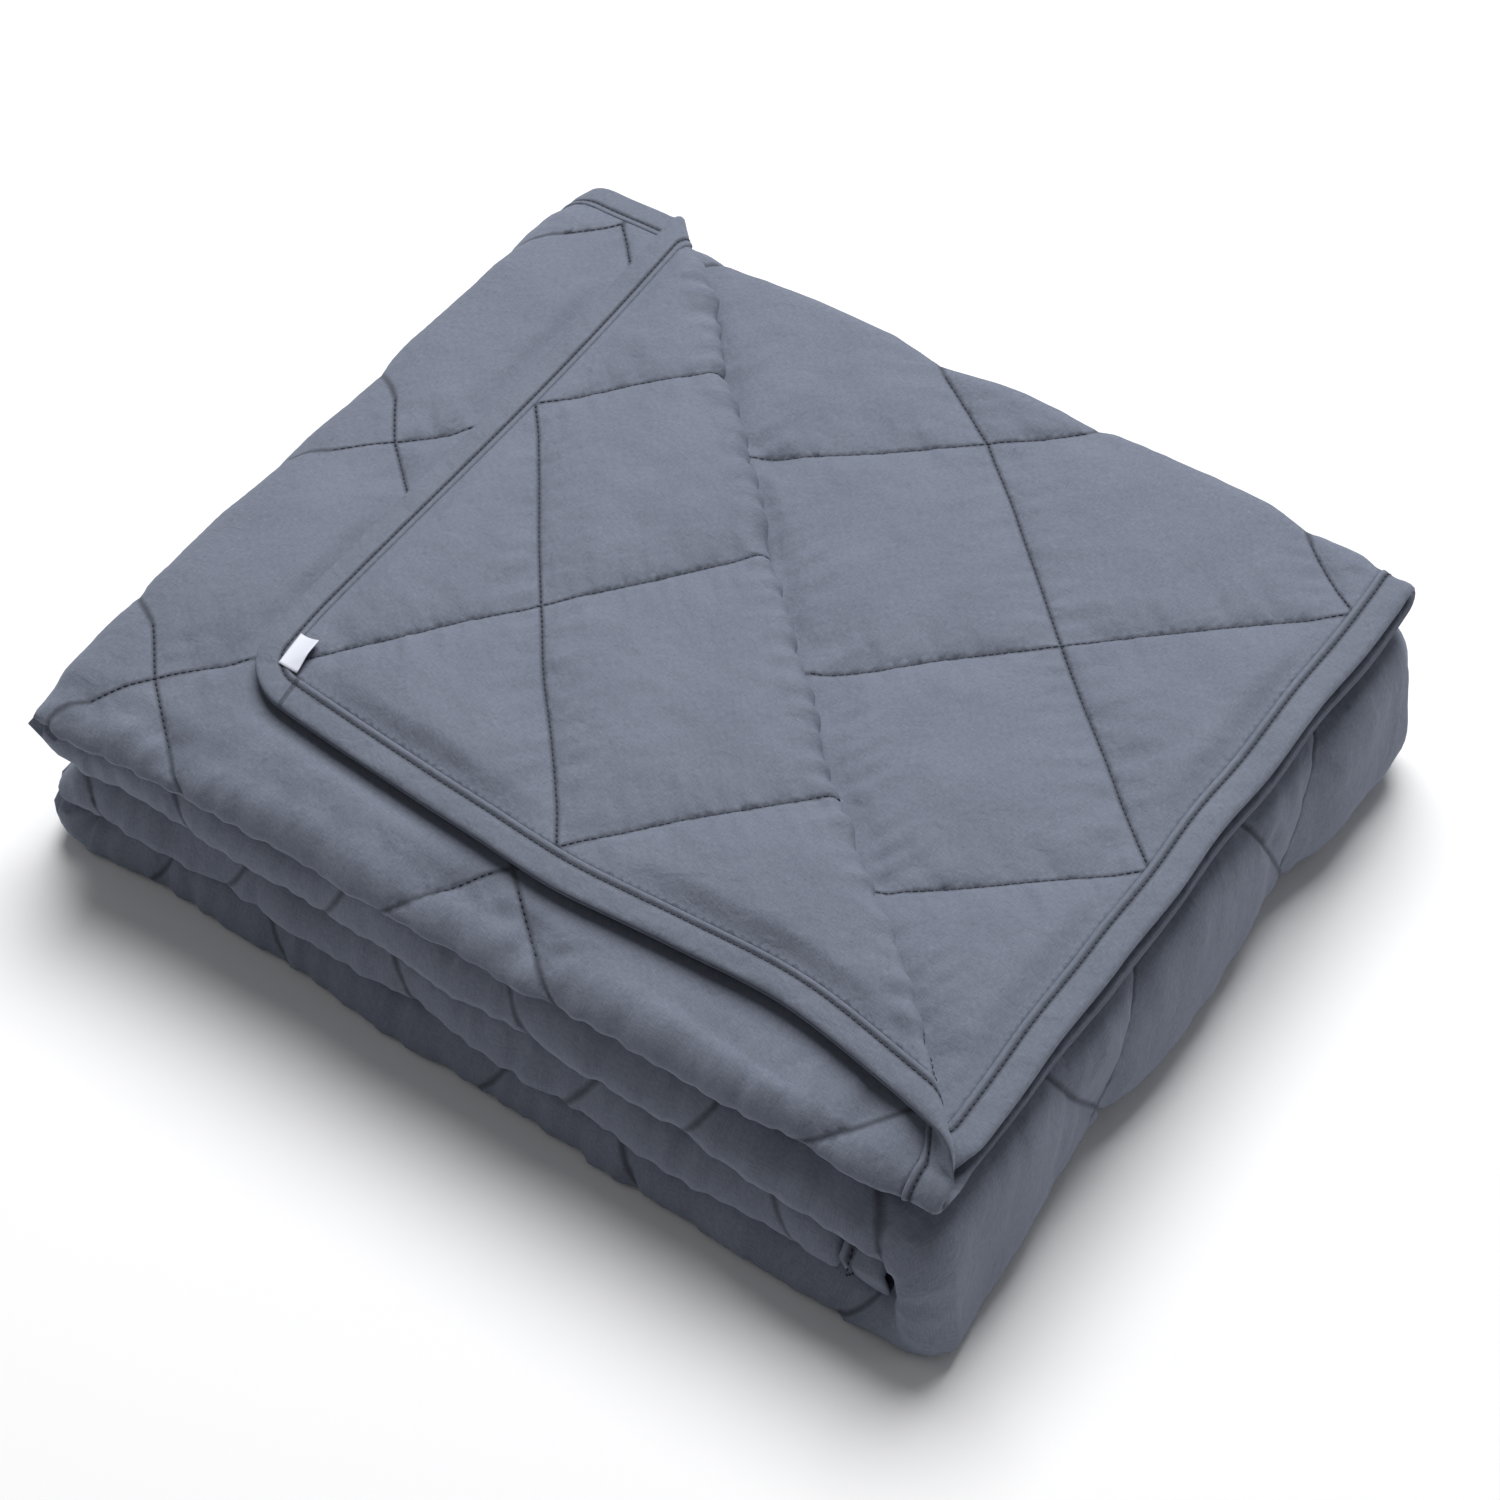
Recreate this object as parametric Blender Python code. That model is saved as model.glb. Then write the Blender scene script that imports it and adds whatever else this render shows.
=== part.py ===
"""A quilted weighted blanket, folded in three across and in four along, one corner turned back.

Metres, +Z up, the stack resting on Z = 0. The blanket is described flat, by u along its length,
v across its width and w through its thickness (w > 0 on the face). The turned corner is folded
first, still on the flat blanket, then the width and the length are each wound round a fold path.
"""

import math

import bpy
import numpy as np
from mathutils import Vector
from mathutils.geometry import delaunay_2d_cdt

MM = 0.001

# The blanket laid flat
BLANKET_LENGTH = 1951 * MM
BLANKET_WIDTH = 1229 * MM
CORNER_RADIUS = 28 * MM
BINDING_WIDTH = 16.7 * MM
JOIN_GAP = 0.3 * MM
RIM = BINDING_WIDTH + JOIN_GAP

# Its thickness, and how its layers lie on each other
LAYER_PITCH = 10.2 * MM
HALF_THICK = 4.4 * MM
HALF_RIM = 2.6 * MM
RIM_TAPER = 14 * MM
STRIP_HALF = LAYER_PITCH + HALF_THICK

# The binding in section, from the blanket's edge inwards
BINDING_ROUND = 1.6 * MM
BINDING_SHAPE = {"depth": (0, BINDING_ROUND, BINDING_WIDTH), "half": (1.2 * MM, 2.7 * MM, 3.1 * MM)}

# The blank label, placed on the flat back from the corner that is turned over
LABEL = {"u": 21.2 * MM, "v": 19.8 * MM, "length": 20 * MM, "width": 11.5 * MM, "lean": 0.0}
LABEL |= {"lift": 0.45 * MM, "thick": 0.8 * MM, "steps": 3}

# Quilting: how far the seams sink and the cells swell on a face that shows
SEAM_SINK = 3.4 * MM
CELL_SWELL = 3.4 * MM
CELL_SHOULDER = 2.6
CELL_ROUND = 0.6
FLOOR_SINK = 1.6 * MM
SIDE_RELIEF = 0.4
FLOOR_SPREAD = 2.5

# Widths over which the quilting fades out, where a face turns under, is covered or turns over
SHOW_FADE = 34 * MM
COVER_FADE = (-14 * MM, -2 * MM)
BARE_FADE = (9 * MM, 24 * MM)
OVER_FADE = 12 * MM

# Places of the quilting nodes, in half diamonds counted from one corner of the binding
NODE_U = {
    "count": (0, 1, 2, 4, 6, 8, 10, 12, 14, 16, 18, 20),
    "place": (17, 127.2, 236.9, 441, 605, 808, 990, 1180, 1392, 1553, 1747, 1964),
}
NODE_V = {"count": (0, 1, 2, 4, 6, 8, 10, 12, 14), "place": (17, 95, 179.9, 378, 556, 716, 866, 1047, 1212)}

# Plan of the folded stack
PLAN_END = 240 * MM
PLAN_SPINE = 246 * MM
PLAN_LEFT = -251 * MM
PLAN_LOW_LEFT = -263 * MM
PLAN_FREE = 211 * MM
PLAN_NEAR = -205 * MM
PLAN_FAR = 207 * MM

# Half turns of the length: the left fold of the top pair, the spine, the left fold of the lower pair
BUNDLE = 3 * LAYER_PITCH
LEFT_RADIUS = BUNDLE / 2
SPINE_RADIUS = BUNDLE
LEFT_X = PLAN_LEFT + LEFT_RADIUS + STRIP_HALF
LOW_X = PLAN_LOW_LEFT + LEFT_RADIUS + STRIP_HALF
SPINE_X = PLAN_SPINE - SPINE_RADIUS - STRIP_HALF

# Half turns of the width: the near fold round the inner edge, then the far one
NEAR_RADIUS = LAYER_PITCH
FAR_RADIUS = LAYER_PITCH / 2
NEAR_Y = PLAN_NEAR + NEAR_RADIUS + HALF_THICK
FAR_Y = PLAN_FAR - FAR_RADIUS - HALF_THICK

# The corner turned back, its fold line given by where it meets the free edge and the end
FLAP_FREE_U = 429.7 * MM
FLAP_END_V = 412.9 * MM
FLAP_RADIUS = LAYER_PITCH / 2
PULL_BACK = 52.5 * MM

# Its end, its side and its fold bow in plan: how far, where most, and over what reach
END_BOW = 17.2 * MM
END_BOW_AT = 311 * MM
END_BOW_REACH = 87 * MM
SIDE_BOW = 1.9 * MM
SIDE_TURN = 0.5
FOLD_BOW = 4.0 * MM
FOLD_REACH = 60 * MM
BOW_DEPTH = 160 * MM

# How the finished stack is out of square
SHEAR_X = -0.018
SHEAR_Y = -0.022
LOWER_TWIST = -0.038
TWIST_TOP = 92 * MM
TWIST_DEPTH = 34 * MM
CENTRE = (7.8 * MM, -2.9 * MM)

# How round the spine is above, and how square at its foot, along it and at its near end
SIDE_FULLNESS = 0.45
FOOT_POWER = (3.4, 6.5)
FOOT_NEAR = (120 * MM, 190 * MM)
FOOT_DRAW = 6 * MM

# The near folds hang to a crease at the foot of each bundle of three layers
CREASE = 0.6
CREASE_POWER = 3.0
CREASE_Y = NEAR_Y + 15 * MM
CREASE_FADE = (145 * MM, 175 * MM)
TOP_EXTRA = 3.4 * MM
LAYER_GAP = LAYER_PITCH - 2 * HALF_THICK

# The top panel falls towards the near side, and its left near corner comes to a point
SLOPE = 11 * MM
SLOPE_Y = -100 * MM
CORNER_POWER = 7.0
CORNER_LIFT = (80 * MM, 90 * MM)
CORNER_DRAW = 6 * MM
CORNER_REACH = 30 * MM

# Spacing of the facets, where the quilting shows and where layers hide it
FINE = 15.5 * MM
COARSE = 78 * MM
CLEAR_OF_LINE = 0.45
CLEAR_OF_STOP = 2.5 * MM
CORNER_STEPS = 4
TURNED_EDGE_STEP = 8 * MM
SEAM_STEPS = 8
CHORD_SLACK = 0.02 * MM
TURN_STEPS = {"left": 8, "spine": 10, "low": 6, "near": 6, "far": 5, "flap": 9}
FLAP_ROW = {"from": -0.03, "to": 1.06, "points": 18}
LEAST_SHOWN = 0.02
SEAM_SHOWN = 0.25

CLOTH_BLUE = (0.122, 0.142, 0.195, 1.0)
BINDING_BLUE = (0.112, 0.131, 0.182, 1.0)
LABEL_WHITE = (0.78, 0.80, 0.86, 1.0)

# Fold paths: each straight run, the radius of the half turn that follows it, and its outer side
LENGTH_PATH = {
    "start": (PLAN_END, 3 * BUNDLE + STRIP_HALF),
    "runs": (PLAN_END - LEFT_X, SPINE_X - LEFT_X, SPINE_X - LOW_X, 1.0),
    "radii": (LEFT_RADIUS, SPINE_RADIUS, LEFT_RADIUS),
    "sides": (1, -1, -1),
}
WIDTH_PATH = {
    "start": (PLAN_FREE, LAYER_PITCH),
    "runs": (PLAN_FREE - NEAR_Y, FAR_Y - NEAR_Y, 1.0),
    "radii": (NEAR_RADIUS, FAR_RADIUS),
    "sides": (1, 1),
}


def turn_starts(path):
    """Distance along the path at which each half turn starts."""
    starts, along = [], 0.0
    for run, radius in zip(path["runs"], path["radii"]):
        starts.append(along + run)
        along += run + math.pi * radius
    return starts


LEFT_U, SPINE_U, LOW_U = turn_starts(LENGTH_PATH)
NEAR_V, FAR_V = turn_starts(WIDTH_PATH)
LEFT_END_U = LEFT_U + math.pi * LEFT_RADIUS
SPINE_END_U = SPINE_U + math.pi * SPINE_RADIUS
LOW_END_U = LOW_U + math.pi * LEFT_RADIUS
NEAR_END_V = NEAR_V + math.pi * NEAR_RADIUS
FAR_END_V = FAR_V + math.pi * FAR_RADIUS


def smooth(value, low, high):
    t = np.clip((value - low) / (high - low), 0, 1)
    return t * t * (3 - 2 * t)


def along_path(path, distance):
    """Point and outward normal, in the path's plane, at each distance along it."""
    distance = np.asarray(distance, float)
    point = np.zeros(distance.shape + (2,))
    normal = np.zeros_like(point)
    here = np.array(path["start"])
    way, passed = np.array([-1.0, 0.0]), 0.0
    for index, run in enumerate(path["runs"]):
        out = np.array([0.0, -way[0]])
        last = index == len(path["radii"])
        on_run = distance >= passed if last or index else distance > -1
        point[on_run] = here + np.outer(distance[on_run] - passed, way)
        normal[on_run] = out
        if last:
            break
        here, passed = here + way * run, passed + run
        radius, side = path["radii"][index], path["sides"][index]
        turning = distance > passed
        angle = np.minimum((distance[turning] - passed) / radius, math.pi)
        spoke = np.outer(np.cos(angle), side * out) + np.outer(np.sin(angle), way)
        centre = here - side * out * radius
        point[turning] = centre + radius * spoke
        normal[turning] = side * spoke
        here, passed, way = centre - side * out * radius, passed + math.pi * radius, -way
    return point, normal


# The fold line of the turned corner, as a point on it and its unit normal towards the corner
FLAP_LINE = np.array([FLAP_FREE_U, 0.0])
FLAP_NORMAL = -np.array([FLAP_END_V, FLAP_FREE_U]) / math.hypot(FLAP_END_V, FLAP_FREE_U)


def pulled(u, v):
    """Slides the top panel back from the end, most at its free edge."""
    share = PULL_BACK * np.clip(1 - v / NEAR_V, 0, 1)
    return np.where(u < LEFT_U, u + share * (1 - u / LEFT_U), u)


def unpulled(u, v):
    share = PULL_BACK * np.clip(1 - v / NEAR_V, 0, 1)
    return np.where(u < LEFT_U, (u - share) / (1 - share / LEFT_U), u)


def past_fold(u, v):
    """Distance beyond the fold line of the turned corner, on the flat blanket."""
    return (pulled(u, v) - FLAP_LINE[0]) * FLAP_NORMAL[0] + (v - FLAP_LINE[1]) * FLAP_NORMAL[1]


def turn_corner(u, v, w):
    """Folds the corner over on the flat blanket."""
    past = np.where(v < NEAR_V, past_fold(u, v), -1.0)
    u = pulled(u, v)
    angle = np.clip(past / FLAP_RADIUS, 0, math.pi)
    moved = (FLAP_RADIUS - w) * np.sin(angle) - np.maximum(past - math.pi * FLAP_RADIUS, 0)
    shift = np.where(past > 0, moved - past, 0.0)
    height = np.where(past > 0, FLAP_RADIUS - (FLAP_RADIUS - w) * np.cos(angle), w)
    over = smooth(angle, 0, math.pi)
    end = END_BOW * np.exp(-(((v - END_BOW_AT) / END_BOW_REACH) ** 2)) * (1 - smooth(u, 0, BOW_DEPTH))
    side = SIDE_BOW * np.sin(2 * math.pi * u / FLAP_FREE_U + SIDE_TURN) * (1 - smooth(v, 0, BOW_DEPTH))
    fold = FOLD_BOW * np.exp(-((past / FOLD_REACH) ** 2)) * np.sin(math.pi * np.clip(v / FLAP_END_V, 0, 1))
    fold = np.where(v < NEAR_V, fold, 0.0)
    u = u + shift * FLAP_NORMAL[0] + over * side + fold
    return u, v + shift * FLAP_NORMAL[1] - over * end + fold, height


def squared(out, down, power):
    """The growth that makes a quarter round a squarer quarter."""
    radius = np.maximum(np.hypot(out, down), CHORD_SLACK)
    total = (out / radius) ** power + (down / radius) ** power
    return np.where(total > 0, np.maximum(total, 2 ** (-power / 2)) ** (-1 / power), 1.0)


def ramp(value, low, high):
    return np.clip((value - low) / (high - low), 0, 1)


def settle(points):
    """Puts the squared-up stack as it really lies: creased, sloping and skewed."""
    x, y, z = points[:, 0].copy(), points[:, 1].copy(), points[:, 2].copy()
    reach = SPINE_RADIUS + STRIP_HALF
    share = ramp(z, reach, 2 * reach)
    full = 1 + SIDE_FULLNESS * share**2 * (1 - share**8)
    x = np.where(x > SPINE_X, SPINE_X + (x - SPINE_X) * full, x)
    out, down = np.maximum(x - SPINE_X, 0), np.maximum(reach - z, 0)
    power = FOOT_POWER[0] + (FOOT_POWER[1] - FOOT_POWER[0]) * smooth(-y, *FOOT_NEAR)
    in_foot = (out > 0) & (down > 0)
    grow = np.where(in_foot, squared(out, down, power), 1.0)
    drawn = FOOT_DRAW * ramp(-y, -CREASE_Y, -PLAN_NEAR) * ramp(down, 0, reach) * ramp(out, 0, reach)
    x = np.where(in_foot, SPINE_X + out * grow + drawn, x)
    z = np.where(in_foot, reach - down * grow, z)
    half_gap = LAYER_GAP / 2
    level = np.clip(np.floor((z + half_gap) / BUNDLE), 0, 3)
    base = np.maximum(level * BUNDLE - half_gap, 0)
    thick = np.select((level < 1, level < 3), (BUNDLE - half_gap, BUNDLE), BUNDLE + TOP_EXTRA)
    share = np.clip((z - base) / thick, 0, 1)
    on_runs = np.where(level < 3, 1 - ramp(x, *CREASE_FADE), 1.0)
    strength = CREASE * on_runs * ramp(-y, -CREASE_Y, -NEAR_Y)
    hung = base + thick * ((1 - strength) * share + strength * share**CREASE_POWER)
    z = np.where(share < 1, hung, z)
    z = z - SLOPE * ramp(-y, -SLOPE_Y, -PLAN_NEAR) * np.clip(z / BUNDLE - 3, 0, 1)
    corner_x = LEFT_X - LEFT_RADIUS
    out, down = np.maximum(corner_x - x, 0), np.maximum(NEAR_Y - y, 0)
    grow = 1 + (squared(out, down, CORNER_POWER) - 1) * smooth(z, *CORNER_LIFT)
    x = np.where(out > 0, corner_x - out * grow, x)
    y = np.where(down > 0, NEAR_Y - down * grow, y)
    y = y - CORNER_DRAW * ramp(-x, -LEFT_X, -PLAN_LEFT) * ramp(-y, -PLAN_NEAR - CORNER_REACH, -PLAN_NEAR)
    twist = SHEAR_Y + LOWER_TWIST * smooth(TWIST_TOP - z, 0, TWIST_DEPTH)
    x, y = x + SHEAR_X * y, y + twist * x
    return np.stack([x + CENTRE[0], y + CENTRE[1], z], axis=1)


def folded(u, v, w):
    """World place of points of the flat blanket."""
    u, v, w = turn_corner(np.asarray(u, float), np.asarray(v, float), np.asarray(w, float))
    across, out = along_path(WIDTH_PATH, v)
    y = across[:, 0] + w * out[:, 0]
    height = across[:, 1] + w * out[:, 1]
    along, up = along_path(LENGTH_PATH, u)
    return settle(np.stack([along[:, 0] + height * up[:, 0], y, along[:, 1] + height * up[:, 1]], axis=1))


def node_count(place, nodes):
    return np.interp(place, np.array(nodes["place"]) * MM, nodes["count"])


def node_place(count, nodes):
    return np.interp(count, nodes["count"], np.array(nodes["place"]) * MM)


def cell_height(u, v):
    """0 on a quilting seam, 1 at the middle of a cell."""
    i, j = node_count(u, NODE_U), node_count(v, NODE_V)
    near = [np.abs((c + 1) % 2 - 1) for c in (i + j, i - j)]
    return np.prod([1 - (1 - d) ** CELL_SHOULDER for d in near], axis=0) ** CELL_ROUND


def turn_share(place, start, end):
    """How squarely a half turn faces outwards, 0 at its ends and 1 in its middle."""
    return np.sin(np.clip((place - start) / (end - start), 0, 1) * math.pi) ** 2


def top_shows(u, v):
    """Where the face of the top panel is neither turned over nor covered by the turned corner."""
    past = past_fold(u, v)
    across = math.pi * FLAP_RADIUS - 2 * past
    over_v = v + across * FLAP_NORMAL[1]
    over_u = unpulled(pulled(u, v) + across * FLAP_NORMAL[0], np.maximum(over_v, 0))
    covered = smooth(np.minimum(over_u, over_v), *COVER_FADE)
    return np.where(past < 0, 1 - covered, 0.0)


def inner_shows(u, v):
    """Where the inner panel lies bare beside the fold of the turned corner."""
    plan_v = PLAN_FREE - FAR_Y + (v - FAR_END_V)
    past = (u - FLAP_LINE[0]) * FLAP_NORMAL[0] + (plan_v - FLAP_LINE[1]) * FLAP_NORMAL[1]
    return smooth(past, *BARE_FADE) * (u < LEFT_U)


def face_shows(u, v):
    """How much of the face can be seen, 0 to 1, at each place."""
    floor = smooth(u - SPINE_END_U, 0, SHOW_FADE) * smooth(LOW_U - u, 0, SHOW_FADE)
    spine = smooth(u - SPINE_U, 0, SHOW_FADE) * smooth(SPINE_END_U - u, 0, SHOW_FADE)
    low = turn_share(u, LOW_U, LOW_END_U)
    outer = np.where(u < LEFT_U, top_shows(u, v), smooth(LEFT_END_U - u, 0, SHOW_FADE))
    lower = np.select((u < SPINE_U, u < SPINE_END_U, u < LOW_U), (0.0 * u, spine, floor), low)
    near = SIDE_RELIEF * turn_share(v, NEAR_V, NEAR_END_V)
    near = np.where(u < LEFT_U, np.maximum(near, smooth(NEAR_END_V - v, 0, NEAR_END_V - NEAR_V)), near)
    far = turn_share(v, FAR_V, FAR_END_V)
    far = np.where(v > (FAR_V + FAR_END_V) / 2, np.maximum(far, smooth(FLAP_FREE_U - u, 0, SHOW_FADE)), far)
    zones = (v < NEAR_V, v < NEAR_END_V, v < FAR_V, v < FAR_END_V)
    return np.select(zones, (outer, near, lower, far), inner_shows(u, v))


def half_thickness(u, v):
    """Half the cloth's thickness, thinned towards the binding."""
    inside = np.minimum.reduce([u, v, BLANKET_LENGTH - u, BLANKET_WIDTH - v]) - RIM
    return HALF_RIM + (HALF_THICK - HALF_RIM) * smooth(inside, 0, RIM_TAPER)


def face_offset(u, v):
    shows, cell = face_shows(u, v), cell_height(u, v)
    on_floor = (v > NEAR_END_V) & (v < FAR_V) & (u > SPINE_END_U) & (u < LOW_U)
    flattened = FLOOR_SINK * (np.minimum(cell * FLOOR_SPREAD, 1) - 1)
    relief = np.where(on_floor, flattened, (SEAM_SINK + CELL_SWELL) * cell - SEAM_SINK) * shows
    edge = (half_thickness(u, v) - HALF_RIM) / (HALF_THICK - HALF_RIM)
    return half_thickness(u, v) + relief * edge


def back_shows(u, v):
    """How much of the back can be seen: only the turned corner."""
    return smooth(past_fold(u, v), 0, OVER_FADE) * (v < NEAR_V)


def back_offset(u, v):
    shows = back_shows(u, v)
    relief = ((SEAM_SINK + CELL_SWELL) * cell_height(u, v) - SEAM_SINK) * shows
    edge = (half_thickness(u, v) - HALF_RIM) / (HALF_THICK - HALF_RIM)
    return -half_thickness(u, v) - relief * edge


def straight_row(start, end):
    """A line across the blanket, from just outside one edge to just outside the other."""
    start, end = np.array(start), np.array(end)
    length = np.linalg.norm(end - start)
    inner = np.linspace(CORNER_RADIUS, length - CORNER_RADIUS, math.ceil(length / COARSE))
    places = np.concatenate([[-BINDING_WIDTH], inner, [length + BINDING_WIDTH]])
    return start + (end - start) * places[:, None] / length


def fold_rows():
    """The lines of the flat blanket along which the facets bend round the half turns."""
    rows = []
    starts, radii = turn_starts(LENGTH_PATH), LENGTH_PATH["radii"]
    for name, start, radius in zip(("left", "spine", "low"), starts, radii):
        for step in range(TURN_STEPS[name] + 1):
            u = start + math.pi * radius * step / TURN_STEPS[name]
            rows.append(straight_row((u, 0.0), (u, BLANKET_WIDTH)))
    for name, start, radius in (("near", NEAR_V, NEAR_RADIUS), ("far", FAR_V, FAR_RADIUS)):
        for step in range(TURN_STEPS[name] + 1):
            v = start + math.pi * radius * step / TURN_STEPS[name]
            rows.append(straight_row((0.0, v), (BLANKET_LENGTH, v)))
    for y in (CREASE_Y, SLOPE_Y):
        for v in (PLAN_FREE - y, NEAR_END_V + y - NEAR_Y, FAR_END_V + FAR_Y - y):
            if v < BLANKET_WIDTH - CORNER_RADIUS:
                rows.append(straight_row((0.0, v), (BLANKET_LENGTH, v)))
    for x in CREASE_FADE:
        for u in (LEFT_END_U + x - LEFT_X, SPINE_END_U + SPINE_X - x, LOW_END_U + x - LOW_X):
            rows.append(straight_row((u, 0.0), (u, BLANKET_WIDTH)))
    return rows


def flap_rows():
    """The bend lines of the turned corner, as polylines from its free edge to its end."""
    rows = []
    for step in range(TURN_STEPS["flap"] + 1):
        past = math.pi * FLAP_RADIUS * step / TURN_STEPS["flap"]
        free_u, end_v = FLAP_FREE_U + past / FLAP_NORMAL[0], FLAP_END_V + past / FLAP_NORMAL[1]
        share = np.linspace(FLAP_ROW["from"], FLAP_ROW["to"], FLAP_ROW["points"])
        v = end_v * share
        rows.append(np.stack([unpulled(free_u * (1 - share), v), v], axis=1))
    return rows


def clipped(row, inset):
    """The part of a polyline that lies more than a given way inside the blanket's edge."""
    depth = edge_depth(row) - inset
    kept = np.flatnonzero(depth > 0)
    points = [row[k] for k in kept]
    for inner, outer in ((kept[0], kept[0] - 1), (kept[-1], kept[-1] + 1)):
        share = depth[inner] / (depth[inner] - depth[outer])
        end = row[inner] + (row[outer] - row[inner]) * share
        points.insert(0 if outer < inner else len(points), end)
    return snapped(np.array(points), inset)


def snapped(flat, inset):
    """The same points, with those that all but lie on a straight edge put exactly on it."""
    far = np.array([BLANKET_LENGTH, BLANKET_WIDTH]) - inset
    flat = np.where(np.abs(flat - inset) < CHORD_SLACK, inset, flat)
    return np.where(np.abs(far - flat) < CHORD_SLACK, far, flat)


def edge_depth(flat):
    """How far inside the blanket's rounded outline each flat point is."""
    middle = np.array([BLANKET_LENGTH, BLANKET_WIDTH]) / 2
    past_core = np.abs(flat - middle) - (middle - CORNER_RADIUS)
    outside = np.linalg.norm(np.maximum(past_core, 0), axis=-1)
    return CORNER_RADIUS - outside - np.minimum(np.max(past_core, axis=-1), 0)


def outline(inset, step):
    """Points round the blanket's outline, a given way in from its edge, without the bend lines' stops."""
    radius = CORNER_RADIUS - inset
    far_u, far_v = BLANKET_LENGTH - CORNER_RADIUS, BLANKET_WIDTH - CORNER_RADIUS
    corners = ((CORNER_RADIUS, CORNER_RADIUS), (far_u, CORNER_RADIUS), (far_u, far_v), (CORNER_RADIUS, far_v))
    points = []
    for quarter, (centre_u, centre_v) in enumerate(corners):
        for part in range(CORNER_STEPS + 1):
            angle = math.pi * (1 + quarter / 2 + part / (2 * CORNER_STEPS))
            points.append((centre_u + radius * math.cos(angle), centre_v + radius * math.sin(angle)))
    loop = []
    for here, following in zip(points, points[1:] + points[:1]):
        here, following = np.array(here), np.array(following)
        count = max(1, math.ceil(np.linalg.norm(following - here) / step))
        loop += [here + (following - here) * k / count for k in range(count)]
    turned = np.arange(CORNER_RADIUS, FLAP_FREE_U, TURNED_EDGE_STEP)
    for place in turned:
        loop += [np.array([place, inset]), np.array([inset, place])]
    return np.array(loop)


def edge_loop(rows, inset, step):
    """The outline with a stop wherever a bend line meets it, in order round the blanket."""
    stops = np.array([end for row in rows for end in (row[0], row[-1])])
    stops = stops[np.abs(edge_depth(stops) - inset) < CHORD_SLACK]
    plain = outline(inset, step)
    from_edges = np.minimum(plain, [BLANKET_LENGTH, BLANKET_WIDTH] - plain)
    in_corner = np.all(from_edges < CORNER_RADIUS + MM, axis=1)
    apart = np.min(np.linalg.norm(plain[:, None] - stops[None], axis=2), axis=1)
    both = snapped(np.concatenate([plain[in_corner | (apart > CLEAR_OF_STOP)], stops]), inset)
    return both[np.argsort(round_place(both))]


def round_place(flat):
    """The angle of each point round the blanket's middle."""
    away = flat - np.array([BLANKET_LENGTH, BLANKET_WIDTH]) / 2
    return np.arctan2(away[:, 1], away[:, 0])


def seam_lines(shows):
    """Quilting seams as short pieces, where the given face shows."""
    lines = []
    most_i, most_j = NODE_U["count"][-1], NODE_V["count"][-1]
    for slope in (1, -1):
        for total in range(-most_j, most_i + most_j + 1, 2):
            i = np.linspace(0, most_i, most_i * SEAM_STEPS + 1)
            j = (total - i) * slope
            inside = (j >= 0) & (j <= most_j)
            u, v = node_place(i[inside], NODE_U), node_place(j[inside], NODE_V)
            seen = (shows(u, v) > SEAM_SHOWN) & (edge_depth(np.stack([u, v], axis=1)) > RIM - CHORD_SLACK)
            for k in np.flatnonzero(seen[:-1] & seen[1:]):
                lines.append(snapped(np.array([(u[k], v[k]), (u[k + 1], v[k + 1])]), RIM))
    return lines


def filling(shows, lines, spacing, wanted):
    """Points on a staggered grid where the face shows, or where it doesn't, clear of the lines."""
    across = np.arange(RIM + spacing / 2, BLANKET_WIDTH - RIM, spacing * math.sqrt(3) / 2)
    along = np.arange(RIM + spacing / 2, BLANKET_LENGTH - RIM, spacing)
    grid_u, grid_v = np.meshgrid(along, across)
    grid_u = grid_u + (np.arange(len(across)) % 2)[:, None] * spacing / 2
    fill = np.stack([grid_u.ravel(), grid_v.ravel()], axis=1)
    shown = shows(fill[:, 0], fill[:, 1]) > LEAST_SHOWN
    fill = fill[(edge_depth(fill) > RIM + spacing / 3) & (shown == wanted)]
    clear = np.array([np.min(np.sum((lines - point) ** 2, axis=1)) for point in fill]) ** 0.5
    return fill[clear > CLEAR_OF_LINE * spacing]


def triangulated(loops, lines, shows, inset):
    """Triangles of a flat face between its boundary loops, with edges along the given lines."""
    points, edges = [], []
    for loop in loops:
        first = len(points)
        points += [tuple(p) for p in loop]
        edges += [(first + k, first + (k + 1) % len(loop)) for k in range(len(loop))]
    for line in lines:
        first = len(points)
        points += [tuple(p) for p in line]
        edges += [(k, k + 1) for k in range(first, len(points) - 1)]
    if shows:
        placed = np.array(points)
        parts = []
        for a, b in edges:
            share = np.linspace(0, 1, 2 + int(np.linalg.norm(placed[b] - placed[a]) / (FINE / 2)))[:, None]
            parts.append(placed[a] + (placed[b] - placed[a]) * share)
        taken = np.concatenate(parts)
        for spacing, wanted in ((FINE, True), (COARSE, False)):
            fill = filling(shows, taken, spacing, wanted)
            points += [tuple(p) for p in fill]
            taken = np.concatenate([taken, fill])
    found = delaunay_2d_cdt([Vector(p) for p in points], edges, [], 0, 1e-6)
    flat = np.array([tuple(p) for p in found[0]])
    tris = np.array([tuple(f) for f in found[2]])
    depth = edge_depth(flat[tris].mean(axis=1))
    low, high = inset
    return flat, tris[(depth > low) & (depth < high)]


def rim_points(flat, inset):
    """The points that lie on the outline at this inset, in order round it."""
    ring = np.flatnonzero(np.abs(edge_depth(flat) - inset) < CHORD_SLACK)
    return ring[np.argsort(round_place(flat[ring]))]


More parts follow.
